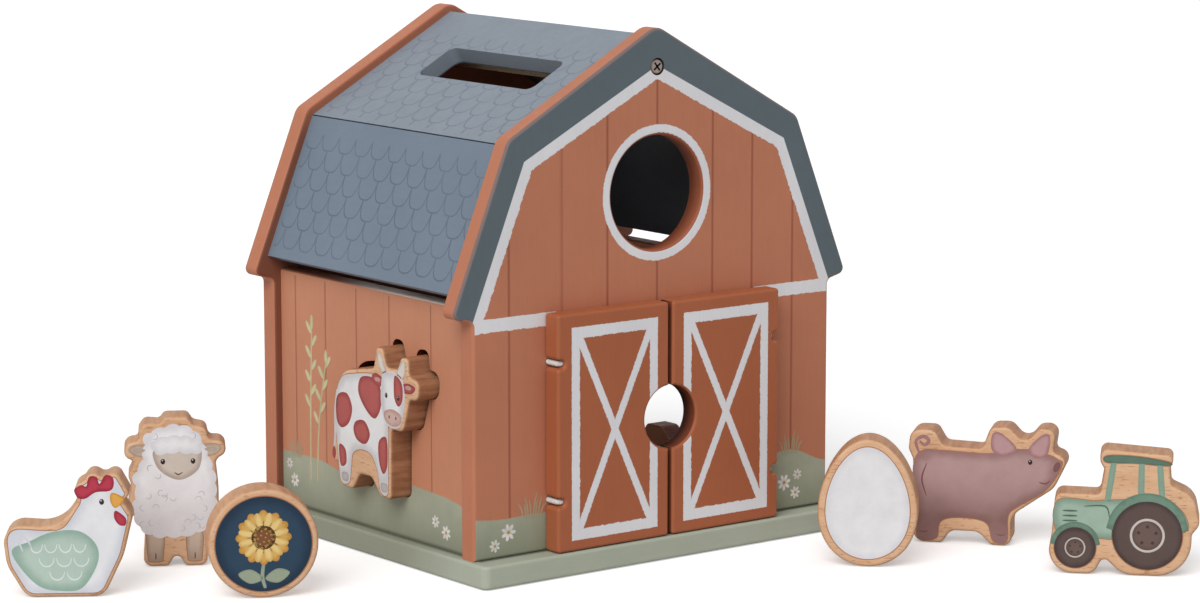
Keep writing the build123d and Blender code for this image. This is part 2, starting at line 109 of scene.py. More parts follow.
class Sketch:
    """Adds nodes to one material's tree."""

    def __init__(self, name):
        self.material = bpy.data.materials.new(name)
        self.material.use_nodes = True
        self.tree = self.material.node_tree
        self.surface = self.tree.nodes["Principled BSDF"]
        self.locate()

    def locate(self):
        """Places that a mask can work on: the point and its parts, in millimetres."""
        coordinates = self.new("ShaderNodeTexCoord")
        self.point = self.vector("SCALE", coordinates.outputs["Object"], scale=1000.0)
        split = self.new("ShaderNodeSeparateXYZ")
        self.feed(split.inputs[0], self.point)
        self.x, self.y, self.z = split.outputs

    def new(self, kind, **settings):
        node = self.tree.nodes.new(kind)
        for key, value in settings.items():
            setattr(node, key, value)
        return node

    def feed(self, socket, value):
        if isinstance(value, bpy.types.NodeSocket):
            self.tree.links.new(value, socket)
        elif socket.type == "VECTOR":
            socket.default_value = value[:3]
        else:
            socket.default_value = value

    def calculate(self, operation, a, b=0.0, c=0.0):
        node = self.new("ShaderNodeMath", operation=operation)
        for socket, value in zip(node.inputs, (a, b, c)):
            self.feed(socket, value)
        return node.outputs[0]

    def plus(self, a, b):
        return self.calculate("ADD", a, b)

    def less(self, a, b):
        return self.calculate("SUBTRACT", a, b)

    def times(self, a, b):
        return self.calculate("MULTIPLY", a, b)

    def size(self, value):
        return self.calculate("ABSOLUTE", value)

    def vector(self, operation, a, b=None, scale=None):
        node = self.new("ShaderNodeVectorMath", operation=operation)
        self.feed(node.inputs[0], a)
        if b is not None:
            self.feed(node.inputs[1], b)
        if scale is not None:
            self.feed(node.inputs["Scale"], scale)
        return node.outputs["Value" if operation in ("DOT_PRODUCT", "LENGTH") else "Vector"]

    def join(self, x, y, z):
        node = self.new("ShaderNodeCombineXYZ")
        for socket, value in zip(node.inputs, (x, y, z)):
            self.feed(socket, value)
        return node.outputs[0]

    def from_middle(self, height):
        """How far a point is, seen from the front, from the middle line at this height."""
        return self.vector("LENGTH", self.join(self.x, self.less(self.z, height), 0.0))

    def ramp(self, value, low, high, start=0.0, end=1.0, smooth=True):
        """start below low, end above high."""
        node = self.new("ShaderNodeMapRange")
        node.interpolation_type = "SMOOTHSTEP" if smooth else "LINEAR"
        node.clamp = True
        for socket, given in zip(node.inputs, (value, low, high, start, end)):
            self.feed(socket, given)
        return node.outputs[0]

    def above(self, value, edge, soft=0.12):
        return self.ramp(value, edge - soft, edge + soft)

    def below(self, value, edge, soft=0.12):
        return self.ramp(value, edge - soft, edge + soft, 1.0, 0.0)

    def both(self, *masks):
        made = masks[0]
        for mask in masks[1:]:
            made = self.times(made, mask)
        return made

    def either(self, *masks):
        made = masks[0]
        for mask in masks[1:]:
            made = self.calculate("MAXIMUM", made, mask)
        return made

    def noise(self, per_mm, detail=3.0, roughness=0.5, stretch=(1.0, 1.0, 1.0), point=None, shift=0.0):
        """Noise from 0 to 1 about 0.5. stretch divides its grain along each axis."""
        place = self.vector("MULTIPLY", point or self.point, tuple(1.0 / s for s in stretch))
        if shift:
            place = self.vector("ADD", place, (shift, shift * 1.7, shift * 0.6))
        node = self.new("ShaderNodeTexNoise")
        self.feed(node.inputs["Vector"], place)
        node.inputs["Scale"].default_value = per_mm
        node.inputs["Detail"].default_value = detail
        node.inputs["Roughness"].default_value = roughness
        return node.outputs[0]

    def wobble(self, value, amount, per_mm, detail=2.0, shift=0.0):
        """value moved by up to about amount to either side."""
        grain = self.noise(per_mm, detail, 0.6, shift=shift)
        return self.plus(value, self.times(self.less(grain, 0.5), 2 * amount))

    def mix(self, factor, a, b):
        node = self.new("ShaderNodeMix", data_type="RGBA")
        self.feed(node.inputs[0], factor)
        self.feed(node.inputs[6], a)
        self.feed(node.inputs[7], b)
        return node.outputs[2]

    def shade(self, colour, factor, low, high):
        """colour times a grey that goes from low to high as factor goes from 0 to 1."""
        grey = self.ramp(factor, 0.25, 0.75, low, high, smooth=False)
        return self.vector("SCALE", colour, scale=grey)

    def lines(self, value, places, half, low, high):
        """1 at each place along value, falling to 0 at half the width to either side."""
        span = high - low
        position = self.ramp(value, low, high, smooth=False)
        node = self.new("ShaderNodeValToRGB")
        node.color_ramp.interpolation = "LINEAR"
        stops = [(0.0, 0.0)]
        for place in sorted(places):
            at = (place - low) / span
            width = half / span
            stops += [(at - 1.6 * width, 0.0), (at - 0.6 * width, 1.0), (at + 0.6 * width, 1.0)]
            stops.append((at + 1.6 * width, 0.0))
        elements = node.color_ramp.elements
        elements[0].position, elements[0].color = 0.0, (0, 0, 0, 1)
        elements[1].position, elements[1].color = 1.0, (0, 0, 0, 1)
        for at, grey in stops[1:]:
            element = elements.new(at)
            element.color = (grey, grey, grey, 1)
        self.feed(node.inputs[0], position)
        return node.outputs[0]

    def attribute(self, name):
        return self.new("ShaderNodeAttribute", attribute_name=name).outputs["Fac"]

    def bump(self, height, strength, distance, under=None):
        node = self.new("ShaderNodeBump")
        node.inputs["Strength"].default_value = strength
        node.inputs["Distance"].default_value = distance * MM
        self.feed(node.inputs["Height"], height)
        if under is not None:
            self.feed(node.inputs["Normal"], under)
        return node.outputs[0]

    def finish(self, colour, rough, normal=None, metal=0.0, specular=0.2):
        self.feed(self.surface.inputs["Base Color"], colour)
        self.feed(self.surface.inputs["Roughness"], rough)
        self.surface.inputs["Metallic"].default_value = metal
        self.surface.inputs["Specular IOR Level"].default_value = specular
        if normal is not None:
            self.feed(self.surface.inputs["Normal"], normal)
        return self.material

    def use(self, effect, **given):
        """Places a shared effect, sets its inputs by name and gives its outputs."""
        node = self.new("ShaderNodeGroup", node_tree=effect.tree)
        for label, value in given.items():
            self.feed(node.inputs[label], value)
        return node.outputs


print("shader calls ready")

# %% [markdown]
# ## Effects that several materials share
#
# Paint over wood, beech and the inks' wash each serve many materials. Each is a node group with
# named inputs, built once. `Effect` draws in a group with the same calls as a material.

# %% Node groups
class Effect(Sketch):
    """A node group for an effect that several materials share."""

    def __init__(self, name, inputs, outputs):
        self.tree = bpy.data.node_groups.new(name, "ShaderNodeTree")
        for way, sockets in (("INPUT", inputs), ("OUTPUT", outputs)):
            for label, kind in sockets.items():
                self.tree.interface.new_socket(label, in_out=way, socket_type=f"NodeSocket{kind}")
        self.given = self.new("NodeGroupInput").outputs
        self.results = self.new("NodeGroupOutput").inputs
        self.locate()

    def give(self, **results):
        for label, value in results.items():
            self.feed(self.results[label], value)
        return self


def dress(name, material):
    """Gives a CAD node its material."""
    mesh = nodes[name].data
    mesh.materials.clear()
    mesh.materials.append(material)


print("effects can be built")

# %% [markdown]
# ## Paint
#
# Sprayed paint on a sanded board: the colour is almost even, with a slow mottle, a faint fibre
# of the wood under it, and a slightly uneven gloss. Every board needs it, so it is one node
# group, and each material gives it the colour, the fibre's direction and the roughness.

# %% Colours and paint
ORANGE = srgb(191, 123, 94)
# The walls' orange is lighter than the gables', a painted sheen of the light on the side walls
WALL_ORANGE_PAINTED_SHEEN = srgb(203, 139, 108)
ORANGE_LINE = srgb(134, 68, 50)
CUT_EDGE = srgb(118, 62, 42)
DOOR = srgb(170, 98, 65)
UPPER_SLATE = srgb(135, 144, 155)
LOWER_SLATE = srgb(118, 131, 146)
SLATE_LINE = srgb(84, 97, 112)
BAND = srgb(94, 106, 112)
WHITE = srgb(230, 229, 232)
SAGE = srgb(175, 181, 164)
GRASS = srgb(174, 176, 155)


def paint_effect():
    e = Effect("paint_over_wood", {"Colour": "Color", "Fibre": "Vector", "Rough": "Float"},
               {"Colour": "Color", "Rough": "Float", "Normal": "Vector"})
    mottle = e.noise(0.035, 3.0, 0.55)
    grain = e.noise(0.9, 4.0, 0.6, point=e.vector("DIVIDE", e.point, e.given["Fibre"]), shift=7.0)
    fine = e.noise(2.6, 3.0, 0.6, shift=3.0)
    colour = e.shade(e.given["Colour"], mottle, 0.955, 1.045)
    colour = e.shade(colour, grain, 0.975, 1.025)
    colour = e.shade(colour, fine, 0.985, 1.015)
    gloss = e.ramp(e.noise(0.3, 3.0, 0.6, shift=11.0), 0.3, 0.7, -0.06, 0.06)
    normal = e.bump(grain, 0.35, 0.05)
    normal = e.bump(fine, 0.3, 0.03, under=normal)
    return e.give(Colour=colour, Rough=e.plus(e.given["Rough"], gloss), Normal=normal)


PAINT = paint_effect()


def painted(sketch, colour, fibre=(1.0, 1.0, 9.0), rough=0.55):
    """Finishes a material as paint over wood, with this colour or colour socket."""
    paint = sketch.use(PAINT, Colour=colour, Fibre=fibre, Rough=rough)
    return sketch.finish(paint["Colour"], paint["Rough"], paint["Normal"])


print("paint colours ready")

# %% [markdown]
# ## Gable boards
#
# The face prints are masks on the two outer faces. The gambrel outline is two slopes at each
# side, so the larger of the two distances to them tells how far a point is from the roof's
# edge: outside 0 is the slate band, the next 4.3 mm is the white trim with its brushed edge.

# %% Planks, roof line, hill and grass
UPPER_SLOPE = (0.4553, 0.8903, -159.9)
LOWER_SLOPE = (0.9251, 0.3798, -111.75)
GRASS_DRY = srgb(162, 166, 145)
GRASS_FOOT = srgb(146, 150, 130)


def planks(sketch, along, places, reach, strength, colour):
    """The colour with a thin dark line at each of the places."""
    lines = sketch.lines(sketch.wobble(along, 0.10, 0.15), places, 0.32, -reach, reach)
    return sketch.mix(sketch.times(lines, strength), colour, ORANGE_LINE)


def slope_distance(sketch, across):
    """Distance outside the line between slate band and white trim, for both roof slopes."""
    place = sketch.join(across, sketch.z, 1.0)
    upper = sketch.vector("DOT_PRODUCT", place, UPPER_SLOPE)
    lower = sketch.vector("DOT_PRODUCT", place, LOWER_SLOPE)
    return sketch.either(upper, lower)


def hill_top(sketch, along, height, *waves):
    """Mask below a hill line: height plus waves of (size, length, shift) along the wall."""
    top = height
    for size, length, shift in waves:
        turn = sketch.calculate("MULTIPLY_ADD", along, 2 * math.pi / length, shift)
        top = sketch.plus(top, sketch.times(sketch.calculate("SINE", turn), size))
    level = sketch.wobble(sketch.less(sketch.z, top), 0.25, 0.8)
    return sketch.below(level, 0.0, 0.25)


def grass_colour(sketch):
    """Two washes of green, darker towards the foot of the board."""
    wash = sketch.noise(0.09, 4.0, 0.6, shift=5.0)
    colour = sketch.mix(sketch.ramp(wash, 0.25, 0.75), GRASS_DRY, GRASS)
    foot = sketch.ramp(sketch.z, 8.0, 26.0, 1.0, 0.0)
    return sketch.mix(foot, colour, GRASS_FOOT)


print("hills, planks and roof line ready")

# %% [markdown]
# Each part of the gable's paint is its own function: the ground, the white prints, and what
# shows off the faces, on rims, in the openings and on the inside.

# %% Paint the gables
SCREW_HEIGHT = 179.1
WINDOW_HEIGHT = 133.6
WINDOW_REVEAL_SHADE_SHALLOW = srgb(160, 92, 66)
WINDOW_REVEAL_SHADE_DEEP = srgb(112, 58, 38)
INNER_FACE_SHADE_LOW = srgb(132, 82, 63)
INNER_FACE_SHADE_HIGH = srgb(164, 102, 78)
SCREW_RECESS_SHADE = srgb(74, 66, 62)


def gable_ground(s, grass):
    """Orange planks over a hill that climbs to the right."""
    places = (-66.5, -43.3, -22.6, 0.0, 25.6, 44.7, 64.0)
    colour = planks(s, s.x, places, 100.0, 0.75, ORANGE)
    rise = s.less(s.ramp(s.x, -30.0, 30.0, 22.4, 31.2), s.ramp(s.x, 62.0, 82.0, 0.0, 5.5))
    rise = s.plus(rise, s.ramp(s.x, -60.0, -82.0, 0.0, 1.0))
    return s.mix(hill_top(s, s.x, rise, (0.4, 31.0, 0.4)), colour, grass)


def gable_white(s, across, outside):
    """The trim under the band, the eaves band and the ring round the window."""
    trim = s.above(s.wobble(outside, 0.75, 0.7, 4.0), -4.3, 0.15)
    trim = s.both(trim, s.above(s.z, 89.8))
    low = s.above(s.wobble(s.z, 0.7, 0.7, 4.0, shift=2.0), 90.0, 0.15)
    high = s.below(s.wobble(s.z, 0.3, 0.7, 4.0), 94.8)
    eaves = s.both(low, high, s.above(s.wobble(across, 1.5, 0.5, 4.0), 46.0))
    ring = s.below(s.wobble(s.from_middle(WINDOW_HEIGHT), 0.5, 0.7, 4.0, shift=4.0), 24.7, 0.15)
    return s.either(trim, eaves, s.both(ring, s.below(s.y, 0.0)))


def gable_rim(s, across, depth, outside, grass):
    """Plain orange on the rims, painted shade deeper in the window, dark cut-outs, and painted shade on the
    inner faces and in the screw's recess.
    """
    middle = s.both(s.below(outside, -7.0), s.below(across, 79.0))
    middle = s.both(middle, s.above(s.z, 12.0), s.above(depth, 60.2))
    # The window's reveal: painted shade, darker deeper in
    window = s.mix(s.ramp(depth, 67.8, 61.0), WINDOW_REVEAL_SHADE_SHALLOW, WINDOW_REVEAL_SHADE_DEEP)
    rim = s.mix(middle, ORANGE, window)
    rim = s.mix(s.both(middle, s.above(s.y, 0.0), s.below(depth, 67.3)), rim, CUT_EDGE)
    # The band's paint runs over the rounded edge, and the hill reaches the foot of the board
    worn = s.both(s.above(depth, 67.0, 0.35), s.above(outside, 4.0), 0.75)
    rim = s.mix(worn, rim, BAND)
    foot = s.both(s.above(depth, 66.2), s.below(s.z, 10.5), s.below(across, 81.0))
    rim = s.mix(foot, rim, grass)
    # The inner faces get painted shade for the corners behind walls and roof, lighter up high, and the
    # recess round the screw is painted dark, a painted shade
    corner = s.mix(s.above(s.z, 152.0, 8.0), INNER_FACE_SHADE_LOW, INNER_FACE_SHADE_HIGH)
    rim = s.mix(s.below(depth, 60.3, 0.15), rim, corner)
    # The recess round the screw: painted shade
    return s.mix(s.below(s.from_middle(SCREW_HEIGHT), 3.6), rim, SCREW_RECESS_SHADE)


def gable_paint():
    s = Sketch("gable_paint")
    across, depth = s.size(s.x), s.size(s.y)
    outside = slope_distance(s, across)
    grass = grass_colour(s)
    colour = s.mix(gable_white(s, across, outside), gable_ground(s, grass), WHITE)
    band = s.either(s.above(outside, 0.0), s.both(s.above(across, 82.3), s.above(s.z, 94.3)))
    colour = s.mix(band, colour, BAND)
    face = s.above(depth, GABLE_FACE - 0.07, 0.05)
    return painted(s, s.mix(face, gable_rim(s, across, depth, outside, grass), colour))


gable_material = gable_paint()
dress("front_gable", gable_material)
dress("rear_gable", gable_material)
print("gables painted")

# %% [markdown]
# ## Side walls
#
# A lighter orange than the gables', a painted sheen of the light on the side walls, with five
# plank lines, a green hill along the foot with a painted shade at its very bottom, and the dark
# sawn edges of the cut-out, where the thickness of the board shows. The top edge under the roof
# is pale towards the front, a painted light, and darker towards the rear, a painted shade.

# %% Paint the walls
SAWN_DARK = srgb(92, 46, 32)
WALL_FOOT_SHADE = srgb(84, 84, 70)
TOP_EDGE_PAINTED_LIGHT = srgb(240, 224, 212)
TOP_EDGE_PAINTED_SHADE = srgb(150, 94, 74)
waves_of = {
    "left": ((1.6, 76.0, 4.05), (0.3, 27.0, 0.2)),
    "right": ((1.3, 61.0, 0.5), (0.7, 38.0, 1.9)),
}


def wall_paint(name, waves):
    s = Sketch(name)
    outward = s.size(s.x)
    face = s.above(outward, WALL_FACE - 0.08, 0.04)
    colour = planks(s, s.y, (50.2, 30.2, 9.7, -11.6, -37.7), 70.0, 0.7, WALL_ORANGE_PAINTED_SHEEN)
    colour = s.mix(hill_top(s, s.y, 27.2, *waves), colour, grass_colour(s))
    # A dark band at the wall's foot: painted shade where the wall stands on the base
    colour = s.mix(s.ramp(s.z, 8.7, 10.2, 0.8, 0.0), colour, WALL_FOOT_SHADE)
    inside = s.either(s.below(outward, 70.95, 0.05), s.above(s.z, 96.4))
    streak = s.noise(0.5, 3.0, 0.6, stretch=(6.0, 1.0, 1.0), shift=9.0)
    sawn = s.mix(s.ramp(streak, 0.35, 0.65), CUT_EDGE, SAWN_DARK)
    colour = s.mix(s.either(face, inside), sawn, s.mix(inside, colour, WALL_ORANGE_PAINTED_SHEEN))
    # The top edge under the roof: painted light towards the front, painted shade towards the rear
    top_edge_light_and_shade = s.mix(s.ramp(s.y, -15.0, 25.0), TOP_EDGE_PAINTED_LIGHT, TOP_EDGE_PAINTED_SHADE)
    return painted(s, s.mix(s.above(s.z, 97.35), colour, top_edge_light_and_shade))


for side, waves in waves_of.items():
    dress(f"{side}_wall", wall_paint(f"{side}_wall_paint", waves))
print("walls painted")

# %% [markdown]
# ## Roof
#
# The roof's shingles are printed lines. In a row each shingle ends in half an ellipse, and
# the next row is half a shingle further along. The masks work on the distance down the slope
# and the distance along the ridge. The slot's walls and the undersides have no print.

# %% Paint the roof
SHINGLE_ROW = 7.75
SHINGLE_WIDTH = 10.8
ROOF_UNDER = srgb(82, 90, 98)
# Of each slope: its outward direction (x, z), a point (x, z) at its top, the distances down to
# the first and last tips of shingles, the strength of the lines, and the colour
slopes = {
    "upper": ((0.4873, 0.8732), (0.0, 190.34), 20.6, 70.0, 0.55, UPPER_SLATE),
    "lower": ((0.9277, 0.3734), (63.75, 154.76), 13.0, 51.8, 0.72, LOWER_SLATE),
}


def on_slope(s, out, start):
    """The distance above a slope's outer face, and the distance down it from its top."""
    place = s.join(s.size(s.x), 0.0, s.z)
    height = s.vector("DOT_PRODUCT", place, (out[0], 0.0, out[1]))
    down = s.vector("DOT_PRODUCT", place, (out[1], 0.0, -out[0]))
    height = s.less(height, start[0] * out[0] + start[1] * out[1])
    return height, s.less(down, start[0] * out[1] - start[1] * out[0])


def shingle_lines(s, down, first):
    """Steep sides and round tips. Dividing by the slope of the form keeps the line even."""
    rows = s.calculate("DIVIDE", s.less(down, first), SHINGLE_ROW)
    inside_row = s.calculate("FRACT", rows)
    odd = s.calculate("FLOORED_MODULO", s.calculate("FLOOR", rows), 2.0)
    along = s.calculate("DIVIDE", s.wobble(s.y, 0.5, 0.05, shift=6.0), SHINGLE_WIDTH)
    along = s.plus(along, s.times(odd, 0.5))
    side = s.times(s.size(s.less(s.calculate("FRACT", along), 0.5)), 2.0)
    form = s.plus(s.calculate("POWER", side, 3.0), s.calculate("POWER", inside_row, 2.0))
    steep_side = s.times(s.calculate("POWER", side, 2.0), 6.0 / SHINGLE_WIDTH)
    steep = s.join(steep_side, s.times(inside_row, 2.0 / SHINGLE_ROW), 0.06)
    away = s.calculate("DIVIDE", s.size(s.less(form, 0.94)), s.vector("LENGTH", steep))
    return s.below(away, 0.30, 0.18)


def roof_paint(name, out, start, first, last, strength, tone):
    s = Sketch(name)
    height, down = on_slope(s, out, start)
    down = s.wobble(down, 0.35, 0.06)
    line = shingle_lines(s, down, first)
    held = s.above(down, first - SHINGLE_ROW + 1.6, 0.9)
    held = s.both(held, s.below(down, last + 0.2, 0.15), s.below(s.size(s.y), 58.0, 0.5))
    patchy = s.ramp(s.noise(0.08, 3.0, 0.6, shift=13.0), 0.3, 0.7, 0.6, 1.0)
    face = s.above(height, -0.25, 0.05)
    colour = s.mix(s.both(line, held, face, patchy, strength), tone, SLATE_LINE)
    colour = s.mix(s.below(height, -6.0, 0.2), colour, ROOF_UNDER)
    return painted(s, colour, fibre=(1.0, 9.0, 1.0), rough=0.5)


for level, given in slopes.items():
    slate = roof_paint(f"{level}_roof_paint", *given)
    for side in ("left", "right"):
        dress(f"roof_{level}_{side}", slate)
print("roof painted")

# %% [markdown]
# ## Doors
#
# Each door has a white frame and a cross, printed on the outer face. The frame is a band of
# distance inside a rectangle, and the cross is two lines through its middle. The finger hole's
# walls and the edges where the doors meet are painted darker deeper in, a painted shade.

# %% Paint the doors
HOLE_HEIGHT = 52.6
REVEAL_SHADE_SHALLOW = srgb(124, 66, 44)
REVEAL_SHADE_DEEP = srgb(62, 32, 24)
# The outer edges of each white frame: left, right, bottom and top
door_frames = {
    "left": (-45.0, -6.1, 12.7, 89.8),
    "right": (5.9, 45.7, 13.2, 90.1),
}


def door_white(s, left, right, bottom, top):
    """The frame and the cross of one door."""
    across = s.either(s.less(s.x, right), s.less(left, s.x))
    upright = s.either(s.less(s.z, top), s.less(bottom, s.z))
    inward = s.times(s.either(across, s.times(upright, 0.9)), -1.0)
    outer = s.above(s.wobble(inward, 0.3, 0.8, 3.0, shift=3.0), 0.0)
    border = s.both(outer, s.below(s.wobble(inward, 0.62, 0.7, 4.0), 3.6, 0.15))
    wide, tall = right - left - 7.2, top - bottom - 8.0
    length = math.hypot(wide, tall)
    from_middle_x = s.less(s.x, (left + right) / 2)
    place = s.join(from_middle_x, s.less(s.z, (top + bottom) / 2), 0.0)
    one = s.size(s.vector("DOT_PRODUCT", place, (tall / length, wide / length, 0.0)))
    other = s.size(s.vector("DOT_PRODUCT", place, (tall / length, -wide / length, 0.0)))
    nearer = s.wobble(s.calculate("MINIMUM", one, other), 0.4, 0.8, 4.0, shift=8.0)
    return s.either(border, s.both(s.below(nearer, 1.45, 0.2), s.above(inward, 1.0)))


def door_paint(name, frame_edges):
    s = Sketch(name)
    face = s.below(s.y, 0.08 - DOOR_FACE, 0.05)
    hole = s.below(s.from_middle(HOLE_HEIGHT), 12.4, 0.3)
    reveal = s.either(hole, s.below(s.size(s.x), 1.3))
    reveal = s.both(reveal, s.ramp(s.y, -75.8, -75.2), s.below(s.y, -68.5))
    # The finger hole's walls and the meeting edges: painted shade, darker deeper in
    wood = s.mix(s.ramp(s.y, -75.6, -70.0), REVEAL_SHADE_SHALLOW, REVEAL_SHADE_DEEP)
    colour = s.mix(s.both(face, door_white(s, *frame_edges)), DOOR, WHITE)
    return painted(s, s.mix(reveal, colour, wood), fibre=(1.0, 1.0, 12.0), rough=0.48)


for side, frame_edges in door_frames.items():
    dress(f"door_{side}", door_paint(f"door_{side}_paint", frame_edges))
print("doors painted")

# %% [markdown]
# ## Base board, screws, bare wood
#
# The base is sage green all round, darker towards the rear, a painted shade, with a dark line
# where the walls and gables stand on it, a painted contact shade. The screws are plated steel
# with a brushed, slightly uneven face. The recess of the cross is darker, a painted shade, and
# the rounded rim of a ridge screw's head is a darker, browner tone.

# %% Base board and screws
SAGE_REAR_SHADE = srgb(150, 153, 136)
SAGE_CONTACT_SHADE = srgb(88, 90, 76)
STEEL = srgb(128, 116, 108)
STEEL_LIGHT = srgb(154, 143, 136)
STEEL_RIM = srgb(112, 92, 85)
STEEL_RECESS_SHADE = srgb(60, 48, 42)


def base_paint():
    s = Sketch("base_paint")
    # A dark line where walls and gables stand on the base: painted contact shade
    away = s.either(s.less(s.size(s.x), WALL_FACE), s.less(s.size(s.y), GABLE_FACE))
    corner = s.ramp(away, 0.3, 2.2, 0.75, 0.0)
    # Darker towards the rear: painted shade
    colour = s.mix(s.ramp(s.y, -64.0, -20.0), SAGE, SAGE_REAR_SHADE)
    return painted(s, s.mix(corner, colour, SAGE_CONTACT_SHADE), fibre=(9.0, 1.0, 1.0), rough=0.5)


def steel():
    s = Sketch("screw_steel")
    brushed = s.noise(3.0, 3.0, 0.6, stretch=(1.0, 6.0, 1.0))
    colour = s.mix(s.ramp(brushed, 0.3, 0.7), STEEL, STEEL_LIGHT)
    depth = s.size(s.y)
    from_screw = s.from_middle(SCREW_HEIGHT)
    rim = s.both(s.above(from_screw, 2.3, 0.3), s.above(depth, 65.5), s.above(s.z, 170.0))
    colour = s.mix(rim, colour, STEEL_RIM)
    # The cross's recess: painted shade
    low = s.both(s.below(depth, 67.5, 0.2), s.below(from_screw, 2.2))
    colour = s.mix(low, colour, STEEL_RECESS_SHADE)
    rough = s.ramp(brushed, 0.3, 0.7, 0.28, 0.42)
    return s.finish(colour, rough, s.bump(brushed, 0.2, 0.02), metal=1.0, specular=0.5)


dress("base_board", base_paint())
steel_material = steel()
for name in ("ridge_screw_front", "ridge_screw_rear", "base_screws"):
    dress(name, steel_material)
print("base and screws done")

# %% [markdown]
# The ridge bar and the dowels are bare beech, and so are the blocks. The growth bands and the
# short dark flecks of beech are one node group, which is given a place and two tones.

# %% Bare beech
BEECH_FLECK = srgb(150, 96, 62)


def beech_effect():
    """Beech colour: slow growth bands and short dark flecks along the first axis of Place."""
    e = Effect("beech", {"Place": "Vector", "Light": "Color", "Dark": "Color"},
               {"Colour": "Color", "Pores": "Float"})
    growth = e.noise(0.16, 4.0, 0.6, stretch=(5.0, 1.0, 1.6), point=e.given["Place"])
    colour = e.mix(e.ramp(growth, 0.3, 0.7), e.given["Dark"], e.given["Light"])
    pores = e.noise(1.5, 2.0, 0.5, stretch=(5.0, 0.8, 0.8), point=e.given["Place"], shift=4.0)
    flecks = e.times(e.ramp(pores, 0.60, 0.68), 0.5)
    return e.give(Colour=e.mix(flecks, colour, BEECH_FLECK), Pores=pores)


BEECH = beech_effect()


def bare_wood():
    s = Sketch("bare_wood")
    wood = s.use(BEECH, Place=s.join(s.y, s.x, s.z), Light=srgb(244, 212, 172), Dark=srgb(230, 190, 148))
    return s.finish(wood["Colour"], 0.6, s.bump(wood["Pores"], 0.3, 0.05))


bare_material = bare_wood()
for name in ("ridge_bar", "wall_dowels", "roof_dowels"):
    dress(name, bare_material)
print("bare wood done")

# %% [markdown]
# ## The blocks' places
#
# Each block has its own frame on its printed face: across, up and out. Prints and grain both
# use it, so they stay together when the block is lifted away.

# %% Where each block stands
class Face:
    """A flat face in the row frame, in millimetres."""

    def __init__(self, origin, across, out):
        self.origin = Vector(origin)
        self.across = Vector(across)
        self.out = Vector(out)
        self.up = Vector((0.0, 0.0, 1.0))

    def at(self, u, v, lift=0.0):
        return (self.origin + self.across * u + self.up * v + self.out * lift) * MM


def standing(x, y, turn):
    """The face of a block on the floor, turned by this many degrees from facing the front."""
    turn = math.radians(turn)
    return Face((x, y, 0), (math.cos(turn), math.sin(turn), 0), (math.sin(turn), -math.cos(turn), 0))


faces = {
    "hen": standing(-204.6, 6.0, -34.0),
    "sheep": standing(-148.8, 22.9, -31.0),
    "round": standing(-150.2, -37.6, -26.5),
    "egg": standing(47.9, -129.9, -44.6),
    "pig": standing(101.2, -124.4, -50.5),
    "tractor": standing(109.6, -193.7, -46.5),
    "cow": Face((-87.3, -13.8, 24.2), (0, -1, 0), (-1, 0, 0)),
}
print("blocks placed:", len(faces))

# %% [markdown]
# The faces are pale beech and the sawn sides are darker, each block in its own two tones, light
# and dark.

# %% Beech for the blocks
BLOCK_THICKNESS = 14.0
side_tones = {
    "hen": ((216, 172, 136), (192, 144, 108)),
    "sheep": ((212, 166, 130), (186, 138, 102)),
    "round": ((218, 170, 134), (194, 144, 108)),
    "egg": ((208, 160, 124), (182, 132, 98)),
    "pig": ((204, 156, 122), (172, 122, 90)),
    "tractor": ((206, 160, 124), (176, 128, 94)),
    "cow": ((176, 126, 94), (142, 96, 68)),
}


def block_wood(name, face, light, dark):
    """Beech with darker sawn sides, in the block's own frame."""
    s = Sketch(f"{name}_wood")
    local = s.vector("SUBTRACT", s.point, tuple(face.origin))
    u, v, w = (s.vector("DOT_PRODUCT", local, tuple(way)) for way in (face.across, face.up, face.out))
    place = s.join(u, v, w)
    front = s.use(BEECH, Place=place, Light=srgb(230, 188, 152), Dark=srgb(216, 170, 132))
    streak = s.noise(0.35, 4.0, 0.65, stretch=(1.0, 1.0, 7.0), point=place, shift=2.0)
    sawn = s.mix(s.ramp(streak, 0.32, 0.68), srgb(*dark), srgb(*light))
    depth = s.size(s.plus(w, BLOCK_THICKNESS / 2))
    colour = s.mix(s.above(depth, 6.55, 0.35), sawn, front["Colour"])
    return s.finish(colour, s.ramp(streak, 0.3, 0.7, 0.52, 0.66), s.bump(front["Pores"], 0.3, 0.06))


for name, face in faces.items():
    dress(f"{name}_block", block_wood(name, face, *side_tones[name]))
print("blocks in beech:", ", ".join(faces))

# %% [markdown]
# ## Inks
#
# A print looks like watercolour: two tones that run into each other, darker towards the edge
# of a shape, with a little paper grain. The mesh carries the distance from each point to the
# edge of its shape, so an ink can darken its own rim. The wash is a node group, placed in
# every ink with its own tones.

# %% The watercolour wash
def watercolour_effect():
    inputs = {"Tone": "Color", "Rim": "Color", "Rim_width": "Float", "Foot": "Color", "Foot_share": "Float"}
    e = Effect("watercolour", inputs, {"Colour": "Color", "Normal": "Vector"})
    distance = e.wobble(e.attribute("edge_distance"), 0.9, 0.25, shift=2.0)
    rim = e.ramp(distance, 0.0, e.given["Rim_width"], 1.0, 0.0)
    colour = e.mix(rim, e.given["Tone"], e.given["Rim"])
    colour = e.mix(e.given["Foot_share"], colour, e.given["Foot"])
    colour = e.shade(colour, e.noise(0.13, 4.0, 0.6, shift=1.0), 0.93, 1.06)
    grain = e.noise(3.2, 2.0, 0.6, shift=8.0)
    return e.give(Colour=e.shade(colour, grain, 0.97, 1.03), Normal=e.bump(grain, 0.2, 0.03))


WATERCOLOUR = watercolour_effect()


